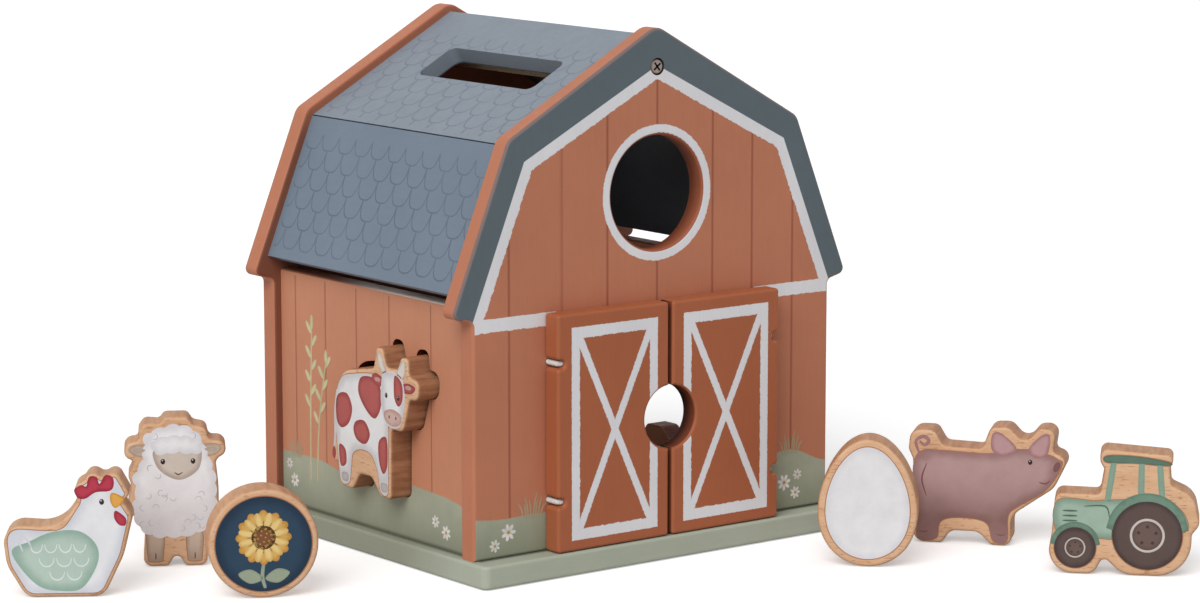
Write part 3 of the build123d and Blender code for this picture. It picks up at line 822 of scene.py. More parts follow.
def ink(name, tone, rim_tone, rim_width=3.5, foot_tone=None, foot=None, legs=None):
    """Watercolour from tone to rim_tone at its rim, and to foot_tone down between two heights."""
    s = Sketch(name)
    share = 0.0
    if foot_tone:
        height = s.wobble(s.z, 3.0, 0.08, shift=5.0)
        share = s.ramp(height, *foot, 1.0, 0.0)
        if legs:
            share = s.both(share, s.ramp(height, *legs, 0.3, 1.0))
    wash = s.use(WATERCOLOUR, Tone=srgb(*tone), Rim=srgb(*rim_tone), Rim_width=rim_width,
                 Foot=srgb(*(foot_tone or tone)), Foot_share=share)
    return s.finish(wash["Colour"], 0.7, wash["Normal"], specular=0.15)


print("wash ready")

# %% [markdown]
# Each ink has its tone, the tone of its rim and the rim's width. Three inks also darken down to
# a foot tone between two heights, and the pig's legs stay lighter than its belly.

# %% The inks
washes = {
    "burn": ((188, 134, 98), (176, 122, 88)),
    "white": ((236, 235, 238), (216, 218, 226), 4.0),
    "wool": ((246, 245, 247), (228, 226, 231), 3.0, (228, 224, 226), (10.0, 44.0)),
    "curl": ((214, 210, 216), (206, 202, 208), 0.6),
    "fleece_face": ((216, 203, 192), (186, 169, 157), 2.5),
    "leg": ((206, 184, 166), (180, 156, 138), 1.5, (176, 152, 134), (0.0, 10.0)),
    "dark": ((62, 50, 50), (54, 44, 44), 0.5),
    "red": ((190, 66, 84), (160, 50, 66), 1.4),
    "beak": ((232, 172, 84), (206, 142, 62), 1.0),
    "wing": ((187, 205, 193), (152, 181, 166), 4.0),
    "wing_line": ((226, 236, 230), (220, 232, 226), 0.4),
    "shadow": ((214, 214, 222), (220, 220, 228), 1.0),
    "cow_white": ((238, 237, 238), (212, 208, 210), 4.0),
    "patch": ((184, 98, 94), (160, 76, 74), 2.4),
    "muzzle": ((214, 182, 172), (192, 156, 146), 2.0),
    "hoof": ((188, 182, 178), (172, 166, 162), 1.0),
    "horn": ((226, 218, 210), (200, 188, 176), 1.0),
    "pig": ((187, 154, 153), (160, 124, 122), 4.0, (132, 97, 91), (2.0, 29.0), (3.0, 11.0)),
    "pig_dark": ((140, 98, 100), (130, 90, 92), 1.5),
    "pig_ear": ((196, 156, 158), (168, 125, 126), 1.5),
    "navy": ((50, 72, 92), (38, 56, 74), 5.0),
    "gold": ((224, 176, 96), (196, 142, 66), 1.8),
    "gold_light": ((238, 206, 136), (216, 176, 104), 1.2),
    "brown": ((126, 84, 58), (98, 62, 42), 2.0),
    "tractor": ((164, 186, 168), (134, 160, 142), 3.0),
    "tractor_dark": ((98, 124, 108), (88, 112, 98), 0.6),
    "guard": ((118, 146, 128), (104, 130, 114), 1.2),
    "tyre": ((96, 80, 76), (74, 62, 60), 2.2),
    "tyre_line": ((206, 196, 188), (196, 186, 178), 0.4),
    "rim": ((112, 92, 86), (98, 80, 76), 1.6),
    "leaf": ((158, 168, 146), (150, 160, 138), 0.6),
    "tuft": ((172, 158, 130), (176, 156, 128), 0.4),
    "stalk": ((216, 206, 166), (200, 188, 148), 0.7),
    "shell": ((232, 230, 232), (222, 220, 224), 3.0),
    "petal": ((236, 234, 228), (216, 214, 208), 0.5),
}
inks = {name: ink(f"ink_{name}", *wash) for name, wash in washes.items()}
print("inks:", len(inks))

# %% [markdown]
# ## Curves and brush strokes
#
# Every printed shape is a closed loop in its face's own millimetres. Most are drawn with a few
# points and rounded by a Catmull-Rom curve, which passes through all of them.

# %% Loops, ovals and strokes
def curve_points(p0, p1, p2, p3, steps):
    """Points from p1 on towards p2, on the smooth curve through all four."""
    made = []
    for step in range(steps):
        t = step / steps
        made.append(0.5 * ((2 * p1) + (p2 - p0) * t + (2 * p0 - 5 * p1 + 4 * p2 - p3) * t * t
                           + (3 * p1 - p0 - 3 * p2 + p3) * t ** 3))
    return made


def smooth_loop(points, steps=6):
    """A closed smooth curve through the points."""
    made = []
    for i in range(len(points)):
        made += curve_points(*(Vector(points[(i + k) % len(points)]) for k in (-1, 0, 1, 2)), steps)
    return made


def oval(u, v, wide, tall=None, turn=0.0, count=28):
    tall = wide if tall is None else tall
    c, s = math.cos(math.radians(turn)), math.sin(math.radians(turn))
    made = []
    for i in range(count):
        a = 2 * math.pi * i / count
        x, y = wide * math.cos(a), tall * math.sin(a)
        made.append(Vector((u + x * c - y * s, v + x * s + y * c)))
    return made


def stroke(points, width, end_width=None):
    """A brush stroke along points, width wide at its middle and end_width at both ends."""
    end_width = width * 0.4 if end_width is None else end_width
    last = len(points) - 1
    line = []
    for i in range(last):
        line += curve_points(*(Vector(points[max(0, min(i + k, last))]) for k in (-1, 0, 1, 2)), 5)
    line.append(Vector(points[-1]))
    left, right = [], []
    for i, p in enumerate(line):
        d = (line[min(i + 1, len(line) - 1)] - line[max(i - 1, 0)]).normalized()
        side = Vector((-d.y, d.x))
        share = math.sin(math.pi * i / (len(line) - 1))
        half = (end_width + (width - end_width) * share) / 2
        left.append(p + side * half)
        right.append(p - side * half)
    return right + left[::-1]


print("loops ready")

# %% [markdown]
# A block's print follows its outline, so the outline is made again from its corners and shrunk.
# A loop can also be swelled for the brown line round it, or given the bumps of wool.

# %% Growing and bending a loop
LEAST_ROUNDING = 0.4


def rounded_outline(corners, grow):
    """A block's outline from its corners (across, up, rounding), grown or, if negative, shrunk."""
    made = []
    count = len(corners)
    moved = []
    for i in range(count):
        here = Vector(corners[i][:2])
        arriving = (here - Vector(corners[i - 1][:2])).normalized()
        leaving = (Vector(corners[(i + 1) % count][:2]) - here).normalized()
        first = Vector((arriving.y, -arriving.x))
        second = Vector((leaving.y, -leaving.x))
        turn = arriving.x * leaving.y - arriving.y * leaving.x
        shift = (first + second) * (grow / (1 + first.dot(second)))
        radius = corners[i][2] + (grow if turn > 0 else -grow)
        moved.append((here + shift, max(radius, LEAST_ROUNDING)))
    for i in range(count):
        here, radius = moved[i]
        before, after = moved[i - 1][0], moved[(i + 1) % count][0]
        to_before, to_after = (before - here).normalized(), (after - here).normalized()
        half = math.acos(max(-1.0, min(1.0, to_before.dot(to_after)))) / 2
        reach = min(radius / math.tan(half), 0.49 * (before - here).length, 0.49 * (after - here).length)
        start, end = here + to_before * reach, here + to_after * reach
        for step in range(7):
            t = step / 6
            made.append(start * (1 - t) ** 2 + here * 2 * t * (1 - t) + end * t * t)
    return made


def swell(loop, amount):
    """A loop that goes anticlockwise, pushed outward by amount."""
    made = []
    for i, here in enumerate(loop):
        along = (Vector(loop[(i + 1) % len(loop)]) - Vector(loop[i - 1])).normalized()
        made.append(Vector(here) + Vector((along.y, -along.x)) * amount)
    return made


def facing(loop):
    """The loop turned anticlockwise."""
    loop = [Vector(p) for p in loop]
    area = sum(loop[i - 1].x * loop[i].y - loop[i].x * loop[i - 1].y for i in range(len(loop)))
    return loop if area > 0 else loop[::-1]


def cloud(points, bump, length):
    """A smooth loop with round bumps of this height and length along it."""
    loop = facing(smooth_loop(points, 12))
    whole = sum((loop[i] - loop[i - 1]).length for i in range(len(loop)))
    count = round(whole / length)
    made, run = [], 0.0
    for i, here in enumerate(loop):
        run += (here - loop[i - 1]).length
        along = (loop[(i + 1) % len(loop)] - loop[i - 1]).normalized()
        push = bump * abs(math.sin(math.pi * count * run / whole)) ** 0.7
        made.append(here + Vector((along.y, -along.x)) * push)
    return made


print("outline tools ready")

# %% [markdown]
# ## Cutting prints
#
# A print is a skin a tenth of a millimetre thick on its face. The lifts keep layers apart: the
# burnt line lowest, then the ground colour and three layers of detail. A shape's outline is
# filled with a fine net of triangles, and each point keeps its distance to the outline for the
# ink.

# %% Shapes in ink
BURN, BASE, FIRST, SECOND, THIRD = 0.05, 0.08, 0.11, 0.14, 0.17
BROWN_LINE = 0.3


def filled(lift, ink_name, *loops, steps=6):
    """Smooth closed shapes in one ink."""
    return [(smooth_loop(points, steps), lift, ink_name) for points in loops]


def brushed(lift, ink_name, width, *lines, ends=None):
    """Brush strokes in one ink."""
    return [(stroke(points, width, ends), lift, ink_name) for points in lines]


def outlined(points, lift, ink_name, steps=6):
    """A smooth printed shape with the thin brown line round it."""
    loop = facing(smooth_loop(points, steps))
    return [(swell(loop, BROWN_LINE), BURN, "burn"), (loop, lift, ink_name)]


def eye(u, v, size, lift):
    """A dark oval with a glint."""
    return [(oval(u, v, size, size * 1.2, count=16), lift, "dark"),
            (oval(u - 0.2 * size, v + 0.5 * size, size * 0.3, count=8), lift + 0.02, "petal")]


def distance_to(point, loop):
    best = 1e9
    for i in range(len(loop)):
        a, b = loop[i - 1], loop[i]
        span = b - a
        t = max(0.0, min(1.0, (point - a).dot(span) / max(span.length_squared, 1e-9)))
        best = min(best, (point - a - span * t).length)
    return best


def inside(point, loop):
    crossing = False
    for i in range(len(loop)):
        a, b = loop[i - 1], loop[i]
        if (a.y > point.y) != (b.y > point.y):
            if point.x < a.x + (b.x - a.x) * (point.y - a.y) / (b.y - a.y):
                crossing = not crossing
    return crossing


print("shapes ready")

# %% [markdown]
# One skin holds all the shapes of a print. A net of points in rows, every second row moved by
# half a step, fills a shape, and a Delaunay cut joins the points. A low wall round each shape
# goes down to the face, so that the ink has a closed edge.

# %% The print cutter
ROW_SHARE = 0.87


def net_points(loop):
    """Points inside a loop, in a net that is finer for smaller shapes."""
    low = Vector((min(p.x for p in loop), min(p.y for p in loop)))
    wide = max(p.x for p in loop) - low.x
    tall = max(p.y for p in loop) - low.y
    net = max(0.7, min(wide, tall) / 7)
    made = []
    for row in range(int(tall / net) + 2):
        for column in range(int(wide / net) + 2):
            p = Vector((low.x + (column + 0.5 * (row % 2)) * net, low.y + row * net * ROW_SHARE))
            if inside(p, loop) and distance_to(p, loop) > 0.45 * net:
                made.append(p)
    return made


def cut_shape(build, depth_layer, face, outline, lift, number):
    """Adds one shape to the mesh that is being built, with the ink of this number."""
    loop = facing(outline)
    edges = [(i, (i + 1) % len(loop)) for i in range(len(loop))]
    points, _, triangles, *_ = delaunay_2d_cdt(loop + net_points(loop), edges, [], 1, 1e-5)
    top = []
    for p in points:
        vert = build.verts.new(face.at(p.x, p.y, lift))
        vert[depth_layer] = distance_to(p, loop)
        top.append(vert)
    for triangle in triangles:
        corners = [top[i] for i in triangle]
        a, b, c = (points[i] for i in triangle)
        if (b - a).cross(c - a) < 0:
            corners.reverse()
        build.faces.new(corners).material_index = number
    ring = [build.verts.new(face.at(p.x, p.y, lift)) for p in loop]
    foot = [build.verts.new(face.at(p.x, p.y, -0.03)) for p in loop]
    for i, j in edges:
        build.faces.new((foot[i], foot[j], ring[j], ring[i])).material_index = number


def skin(name, face, shapes, body):
    """One piece of many printed shapes, each (outline, lift above the face, ink)."""
    build = bmesh.new()
    depth_layer = build.verts.layers.float.new("edge_distance")
    used = []
    for outline, lift, ink_name in shapes:
        if ink_name not in used:
            used.append(ink_name)
        cut_shape(build, depth_layer, face, outline, lift, used.index(ink_name))
    mesh = bpy.data.meshes.new(name)
    build.to_mesh(mesh)
    build.free()
    for ink_name in used:
        mesh.materials.append(inks[ink_name])
    piece = bpy.data.objects.new(name, mesh)
    bpy.context.scene.collection.objects.link(piece)
    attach(piece, body)
    print(name, "cut from", len(shapes), "shapes")


def print_block(name, shapes):
    """The print on a block's face, which moves with the block."""
    skin(f"{name}_print", faces[name], shapes, name)


print("print cutter ready")

# %% [markdown]
# ## Hen
#
# The hen is white with a green wing of scalloped feathers, a red comb and a golden beak. The white
# keeps the shape of the block, so it is made from the block's own corners: across, up and
# rounding. It stands 1.5 mm inside them, in a thin brown line.

# %% Print the hen
HEN_INSET = 1.5
hen_corners = [
    (-13.3, 0.0, 6.0), (13.6, 0.0, 6.0), (20.6, 14.5, 16.0), (24.0, 28.5, 4.0), (20.9, 33.6, 1.9),
    (23.2, 36.3, 2.0), (18.6, 44.9, 2.8), (14.1, 42.2, 2.6), (9.5, 45.2, 3.0), (7.4, 41.5, 2.0),
    (3.0, 39.0, 3.4), (5.2, 34.5, 3.0), (-1.0, 25.0, 12.0), (-8.0, 25.3, 6.0), (-21.6, 26.4, 6.5),
    (-20.0, 11.5, 14.0),
]
FEATHER_ROWS = ((17.6, -12.0, 8.0), (12.6, -9.0, 9.0), (7.8, -5.5, 6.5))


def feathers():
    """Rows of scallops, one fewer in each row down: the row's height, its left and its right end."""
    bend = [math.pi * k / 6 for k in range(7)]
    arcs = []
    for row, (v, left, right) in enumerate(FEATHER_ROWS):
        count = 4 - row
        step = (right - left) / count
        for i in range(count):
            u = left + step * i
            arc = [(u + step * (0.5 - 0.43 * math.cos(a)), v + 1.4 - 3.0 * math.sin(a)) for a in bend]
            arcs.append(arc)
    return brushed(SECOND, "wing_line", 0.55, *arcs)


def hen_print():
    wing = [(-4.4, 23.2), (5.1, 23.6), (11.2, 18.6), (11.5, 11.8), (6.0, 3.2), (-1.7, 2.3),
            (-8.7, 4.0), (-14.8, 10.2), (-18.0, 17.0), (-12.0, 20.0)]
    comb = [(5.2, 35.4), (4.0, 38.2), (6.4, 39.8), (8.2, 39.4), (9.2, 42.6), (11.8, 42.6), (12.8, 40.2),
            (14.8, 43.2), (17.4, 42.4), (17.6, 39.2), (16.0, 37.6), (11.4, 37.2), (7.8, 35.0)]
    beak = [(17.0, 37.0), (21.0, 35.2), (20.6, 33.4), (18.0, 31.6), (16.4, 34.0)]
    wattle = [(18.2, 30.6), (21.6, 28.0), (21.4, 25.4), (19.2, 25.6), (17.6, 28.2)]
    tail = [[(-15.8, 23.8), (-12.6, 20.6), (-11.0, 17.4)], [(-18.0, 22.0), (-15.6, 19.6), (-14.2, 16.6)]]
    shapes = [(rounded_outline(hen_corners, BROWN_LINE - HEN_INSET), BURN, "burn"),
              (rounded_outline(hen_corners, -HEN_INSET), BASE, "white")]
    shapes += filled(FIRST, "wing", wing) + feathers()
    shapes += filled(FIRST, "red", comb) + filled(FIRST, "beak", beak) + filled(FIRST, "red", wattle)
    return shapes + eye(13.4, 33.8, 0.85, SECOND) + brushed(SECOND, "shadow", 0.7, *tail)


print_block("hen", hen_print())

# %% [markdown]
# ## Egg
#
# The egg is plain white, a little greyer towards its edge. Its loop is an oval that is narrower
# at the top.

# %% Print the egg
EGG_HALF_WIDTH = 17.85
EGG_HALF_HEIGHT = 23.4


def egg_loop(inset):
    """The egg's outline, this far inside the block's own."""
    wide, tall = EGG_HALF_WIDTH - inset, EGG_HALF_HEIGHT - inset
    made = []
    for i in range(64):
        t = 2 * math.pi * i / 64
        taper = 1 - 0.15 * math.sin(t)
        made.append(Vector((wide * math.cos(t) * taper, EGG_HALF_HEIGHT + tall * math.sin(t))))
    return made


print_block("egg", [(egg_loop(2.5), BURN, "burn"), (egg_loop(2.85), BASE, "shell")])

# %% [markdown]
# ## Sheep
#
# A woolly body with a fringe of curls round it, a warm grey face, two ears and short legs. The
# small curls are strewn over the wool, and left out on the face.

# %% Print the sheep
wool = [(-8.6, 12.0), (-13.2, 15.6), (-14.8, 22.0), (-13.6, 28.0), (-14.4, 33.0), (-11.6, 38.2),
        (-10.6, 44.0), (-10.0, 48.0), (-5.2, 50.2), (1.2, 51.4), (7.0, 49.0), (9.6, 44.6),
        (12.0, 38.6), (13.8, 32.0), (13.8, 26.0), (14.0, 21.0), (10.6, 14.6), (4.0, 11.8), (-3.0, 11.4)]
sheep_face = [(-8.0, 41.0), (-6.2, 43.6), (1.0, 44.4), (8.2, 43.4), (9.6, 40.6), (7.8, 35.0),
              (1.3, 31.8), (-5.4, 35.2)]
fringe = [(-7.0, 42.2), (-3.4, 41.8), (0.8, 42.4), (4.8, 41.8), (8.6, 42.2), (8.4, 46.0),
          (0.6, 47.6), (-7.4, 46.0)]


def sheep_ears_and_legs():
    shapes = []
    for side in (-1, 1):
        outer = [(9.0, 44.4), (14.4, 45.0), (16.6, 43.0), (13.6, 40.6), (9.2, 41.0)]
        inner = [(10.6, 43.0), (13.6, 43.8), (15.0, 42.8), (12.8, 41.8)]
        shapes += filled(FIRST, "leg", [(side * u, v) for u, v in outer])
        shapes += filled(SECOND, "fleece_face", [(side * u, v) for u, v in inner])
    for left, right in ((-10.2, -5.0), (4.0, 9.0)):
        leg = [(left, 13.0), (left, 3.6), (left + 0.8, 2.0)]
        leg += [(right - 0.6, 2.0), (right, 3.6), (right + 0.2, 13.0)]
        middle = (left + right) / 2
        shapes += outlined(leg, BASE, "leg", 3)
        shapes += brushed(FIRST, "brown", 0.4, [(middle, 2.6), (middle + 0.1, 3.8), (middle, 5.0)])
    return shapes


def curls():
    """Short hooks at random places on the wool, each turned at random."""
    dice = random.Random(5)
    wool_loop = smooth_loop(wool)
    face_loop = swell(smooth_loop(sheep_face)[::-1], 1.5)
    lines = []
    for _ in range(34):
        u, v = dice.uniform(-12.0, 11.0), dice.uniform(14.0, 50.0)
        if inside(Vector((u, v)), wool_loop) and not inside(Vector((u, v)), face_loop):
            turn = dice.uniform(0, 2 * math.pi)
            hook = (turn, turn + 1.1, turn + 2.2, turn + 3.3)
            lines.append([(u + 1.2 * math.cos(a), v + 1.2 * math.sin(a)) for a in hook])
    return brushed(SECOND - 0.01, "curl", 0.38, *lines)


sheep_shapes = sheep_ears_and_legs() + [(cloud(wool, 1.0, 5.2), FIRST + 0.01, "wool")]
sheep_shapes += filled(SECOND, "fleece_face", sheep_face)
sheep_shapes += [(cloud(fringe, 0.8, 4.4), THIRD, "wool")]
sheep_shapes += eye(-4.4, 38.6, 0.85, THIRD) + eye(6.4, 38.6, 0.85, THIRD)
sheep_shapes += brushed(THIRD, "brown", 0.45, [(-0.4, 34.6), (1.1, 33.8), (2.6, 34.6)])
print_block("sheep", sheep_shapes + curls())

# %% [markdown]
# ## Pig
#
# Dusky pink, darker towards the belly, with two ears, a curled tail and the legs parted by an
# arch of bare wood.

# %% Print the pig
def pig_print():
    body = [(-17.6, 1.9), (-10.8, 1.9), (-9.6, 7.6), (-5.4, 9.8), (3.6, 9.8), (8.4, 7.8), (10.4, 1.9),
            (15.4, 1.9), (15.8, 11.4), (19.4, 15.2), (29.8, 22.2), (35.2, 31.4), (33.6, 33.4), (30.2, 35.0),
            (21.0, 36.6), (8.0, 34.4), (-8.0, 34.9), (-17.0, 34.2), (-19.6, 27.0), (-18.0, 14.0)]
    ears = ([(9.4, 36.0), (9.6, 42.0), (13.0, 42.2), (18.6, 36.8), (14.0, 34.0)],
            [(22.8, 36.6), (27.4, 42.0), (30.6, 42.2), (30.0, 35.6), (26.0, 33.6)])
    tail = [(-17.6, 34.0), (-18.8, 38.0), (-16.0, 40.0), (-14.0, 38.4), (-15.6, 36.8), (-17.4, 38.2)]
    toes = [[(u - 1.8, 4.4), (u, 4.0), (u + 1.8, 4.4)] for u in (-15.6, 13.2)]
    shapes = outlined(body, BASE, "pig") + filled(FIRST, "pig_ear", *ears)
    shapes += brushed(FIRST, "pig_ear", 1.3, tail, ends=0.8)
    shapes += eye(23.6, 32.0, 0.8, SECOND)
    shapes.append((oval(33.4, 30.6, 1.1, 2.0, -24.0), FIRST, "pig_dark"))
    shapes += brushed(FIRST, "pig_dark", 0.6, [(27.0, 24.6), (29.4, 24.2), (31.0, 25.4)])
    shapes += brushed(FIRST, "pig_dark", 0.5, *toes)
    return shapes + brushed(FIRST, "pig_dark", 0.6, [(-14.6, 30.0), (-16.4, 24.0), (-14.6, 17.6)])


print_block("pig", pig_print())

# %% [markdown]
# ## Cow
#
# Cream with red-brown patches of our own layout, a pale muzzle, two ears and short horns.

# %% Print the cow
def cow_body():
    body = [(-21.6, 2.2), (-16.4, 2.2), (-15.0, 8.0), (-13.6, 13.6), (-8.0, 15.8), (-2.0, 14.8),
            (1.8, 10.0), (4.0, 2.2), (8.4, 2.2), (8.9, 14.0), (9.0, 28.0), (6.0, 41.4), (0.0, 44.6),
            (-12.0, 43.2), (-20.4, 40.8), (-24.2, 34.0), (-24.8, 24.0), (-23.4, 12.0)]
    tail = [(-23.6, 35.6), (-25.0, 28.0), (-25.2, 19.0), (-26.0, 13.6)]
    tassel = [(-26.0, 14.4), (-25.0, 12.0), (-26.0, 9.6), (-27.2, 11.6)]
    patches = ([(-7.4, 42.8), (2.6, 42.6), (5.0, 35.0), (1.0, 28.6), (-5.0, 31.0), (-9.8, 37.0)],
               [(-23.6, 33.4), (-17.4, 35.2), (-14.0, 30.4), (-16.0, 24.6), (-21.0, 22.0), (-24.2, 25.0)],
               [(-11.4, 25.8), (-6.0, 26.6), (-2.6, 22.2), (-5.6, 18.2), (-11.0, 19.0), (-13.2, 22.6)],
               [(3.2, 20.6), (8.0, 22.4), (8.4, 12.6), (5.6, 9.0), (3.0, 13.8)],
               [(-22.6, 15.4), (-18.6, 14.2), (-18.2, 9.0), (-21.8, 8.0)])
    shapes = outlined(body, BASE, "cow_white") + brushed(FIRST, "cow_white", 1.3, tail, ends=1.0)
    return shapes + filled(SECOND, "patch", tassel) + filled(FIRST, "patch", *patches)


def cow_head():
    ears = ([(6.2, 43.8), (1.4, 45.4), (-1.0, 43.6), (1.4, 41.0), (5.6, 41.2)],
            [(18.6, 43.6), (22.4, 44.4), (26.2, 43.4), (24.0, 41.0), (19.0, 40.8)])
    horns = ([(6.0, 45.8), (3.2, 49.6), (2.8, 53.4), (4.6, 52.6), (8.2, 47.2)],
             [(14.8, 47.0), (17.8, 51.4), (19.8, 52.2), (20.2, 49.0), (18.6, 45.6)])
    head = [(5.6, 43.0), (7.2, 46.4), (15.8, 46.4), (18.8, 43.0), (19.2, 37.0), (17.4, 30.0), (14.6, 27.4),
            (9.8, 27.4), (6.8, 30.2), (5.0, 36.0)]
    blaze = [(13.6, 46.0), (18.0, 43.8), (18.4, 38.0), (15.8, 35.2), (13.2, 38.4)]
    muzzle = [(6.8, 32.0), (12.0, 33.6), (17.4, 32.0), (16.8, 28.8), (12.2, 27.4), (7.6, 28.8)]
    shapes = []
    for ear in ears:
        middle = sum((Vector(p) for p in ear), Vector((0, 0))) / len(ear)
        shapes += filled(FIRST + 0.02, "patch", ear)
        shapes.append((oval(middle.x, middle.y + 0.2, 1.9, 0.8, count=16), SECOND, "muzzle"))
    shapes += filled(SECOND, "horn", *horns)
    shapes.append((swell(facing(smooth_loop(head)), 0.35), SECOND, "shadow"))
    shapes += filled(SECOND + 0.01, "cow_white", head)
    shapes += filled(THIRD, "patch", blaze) + filled(THIRD, "muzzle", muzzle)
    shapes += eye(8.2, 38.2, 0.8, THIRD + 0.03) + eye(15.8, 38.2, 0.8, THIRD + 0.03)
    return shapes + [(oval(u, 30.6, 0.45, 0.65, count=12), THIRD + 0.03, "pig_dark") for u in (10.0, 14.2)]


hooves = [[(u - 1.9, 5.4), (u - 1.7, 2.6), (u + 1.7, 2.6), (u + 1.9, 5.4)] for u in (-18.9, 6.3)]
print_block("cow", cow_body() + cow_head() + filled(FIRST, "hoof", *hooves, steps=3))

# %% [markdown]
# ## Tractor
#
# A green body with its bonnet and mudguards, a small cab, and two dark tyres with pale rings.

# %% Print the tractor
# Of each wheel: its middle, across and up, its radius, and the radius and width of its mudguard
wheels = {
    "front": (-14.4, 9.6, 7.4, 8.2, 2.4),
    "rear": (11.1, 14.8, 12.4, 13.4, 4.0),
}


def tractor_body():
    bonnet = [(-20.8, 26.6), (-8.0, 26.8), (-3.0, 27.2), (8.0, 27.6), (20.0, 26.0), (24.6, 21.6),
              (24.0, 16.4), (10.0, 13.0), (-6.0, 13.4), (-20.4, 15.0)]
    roof = [(-3.6, 43.4), (7.0, 43.4), (18.0, 41.8), (17.6, 40.4), (6.0, 41.0), (-3.8, 41.0)]
    shapes = outlined(bonnet, BASE, "tractor") + outlined(roof, FIRST, "tractor_dark", 4)
    posts = (((-1.2, 41.4), (-3.2, 27.0)), ((8.6, 41.2), (8.6, 27.0)), ((15.0, 41.2), (16.2, 26.4)))
    for top, foot in posts:
        middle = ((top[0] + foot[0]) / 2, (top[1] + foot[1]) / 2)
        shapes += brushed(BASE, "tractor", 2.2, [top, middle, foot], ends=2.0)
    for u, v, _, radius, width in (wheels["rear"], wheels["front"]):
        turns = [math.radians(a) for a in (172, 145, 118, 90, 62, 35, 8)]
        guard = [(u + radius * math.cos(a), v + radius * math.sin(a)) for a in turns]
        shapes += brushed(FIRST, "guard", width, guard, ends=0.7 * width)
    grille = [[(-19.0, v), (-16.4, v), (-13.8, v)] for v in (23.0, 21.2, 19.4)]
    shapes += brushed(FIRST, "tractor_dark", 0.7, *grille)
    return shapes + brushed(FIRST, "tractor_dark", 0.6, [(-11.4, 24.8), (-4.0, 25.0), (-2.4, 21.0)])


def wheel(u, v, radius):
    """A tyre with its brown line, a pale ring, a hub and five bolts."""
    shapes = [(oval(u, v, radius + 0.3, count=48), BASE, "burn"),
              (oval(u, v, radius, count=48), SECOND, "tyre"),
              (oval(u, v, radius * 0.50, count=36), SECOND + 0.02, "tyre_line"),
              (oval(u, v, radius * 0.43, count=36), SECOND + 0.04, "rim")]
    for i in range(5):
        turn = 2 * math.pi * (i + 0.25) / 5
        spot = (u + radius * 0.26 * math.cos(turn), v + radius * 0.26 * math.sin(turn))
        shapes.append((oval(*spot, radius * 0.05, count=10), SECOND + 0.06, "tyre"))
    return shapes


print_block("tractor", tractor_body() + wheel(*wheels["front"][:3]) + wheel(*wheels["rear"][:3]))

# %% [markdown]
# ## Round block
#
# A navy disc with a sunflower of our own: two rings of petals, a seeded middle and two leaves.

# %% Print the round block
DISC_MIDDLE = 19.3
FLOWER_MIDDLE = 21.6
PETALS = 12


def sunflower_print():
    shapes = [(oval(0.0, DISC_MIDDLE, 17.25, count=72), BURN, "burn"),
              (oval(0.0, DISC_MIDDLE, 16.85, count=72), BASE, "navy")]
    shapes += brushed(FIRST, "leaf", 1.3, [(0.2, 14.0), (-0.6, 8.0), (0.4, 3.6)], ends=1.0)
    for side in (-1, 1):
        leaf = [(0.4, 7.0), (4.6, 10.4), (9.0, 8.8), (5.0, 5.4)]
        shapes += filled(FIRST, "leaf", [(side * u, v) for u, v in leaf])
    for ring, (reach, wide, ink_name) in enumerate(((6.6, 1.9, "gold"), (5.8, 1.6, "gold_light"))):
        for i in range(PETALS):
            turn = 2 * math.pi * (i + 0.5 * ring) / PETALS
            u, v = reach * math.cos(turn), FLOWER_MIDDLE + reach * math.sin(turn)
            shapes.append((oval(u, v, 3.2, wide, math.degrees(turn)), FIRST + 0.01 + 0.02 * ring, ink_name))
    shapes.append((oval(0.0, FLOWER_MIDDLE, 4.3), SECOND, "brown"))
    # The seeds follow a spiral
    for i in range(16):
        turn, reach = i * 2.4, 0.95 * math.sqrt(i + 0.5)
        u, v = reach * math.cos(turn), FLOWER_MIDDLE + reach * math.sin(turn)
        shapes.append((oval(u, v, 0.34, count=8), THIRD, "gold"))
    return shapes


print_block("round", sunflower_print())

# %% [markdown]
# ## Flowers and grass on the barn
#
# Daisies, tufts and tall stalks stand on the hill of each wall. Blades and leaves that cross
# each lie at a lift of their own.

# %% Daisies, tufts and stalks
DAISY_PETALS = 7
BLADES = 8


def daisy(u, v, size, turn=0.0):
    shapes = []
    for i in range(DAISY_PETALS):
        angle = turn + 2 * math.pi * i / DAISY_PETALS
        pu, pv = u + 0.62 * size * math.cos(angle), v + 0.62 * size * math.sin(angle)
        shapes.append((oval(pu, pv, 0.46 * size, 0.24 * size, math.degrees(angle), 12), 0.06, "petal"))
    shapes.append((oval(u, v, 0.22 * size, count=12), 0.09, "gold"))
    return shapes


def tuft(u, v, size):
    """Thin grass blades that fan out from the hill."""
    shapes = []
    for i in range(BLADES):
        share = 2 * i / (BLADES - 1) - 1
        foot = u + 0.42 * size * share
        reach = size * (1.0 - 0.4 * abs(share)) * (0.74 if i % 2 else 1.0)
        bend = reach * (0.42 * share + (0.14 if i % 3 == 1 else -0.05))
        line = [(foot, v - 1.0), (foot + 0.35 * bend, v + 0.5 * reach), (foot + bend, v + reach)]
        shapes += brushed(0.05 + 0.006 * i, "tuft", 0.085 * size, line, ends=0.1)
    return shapes


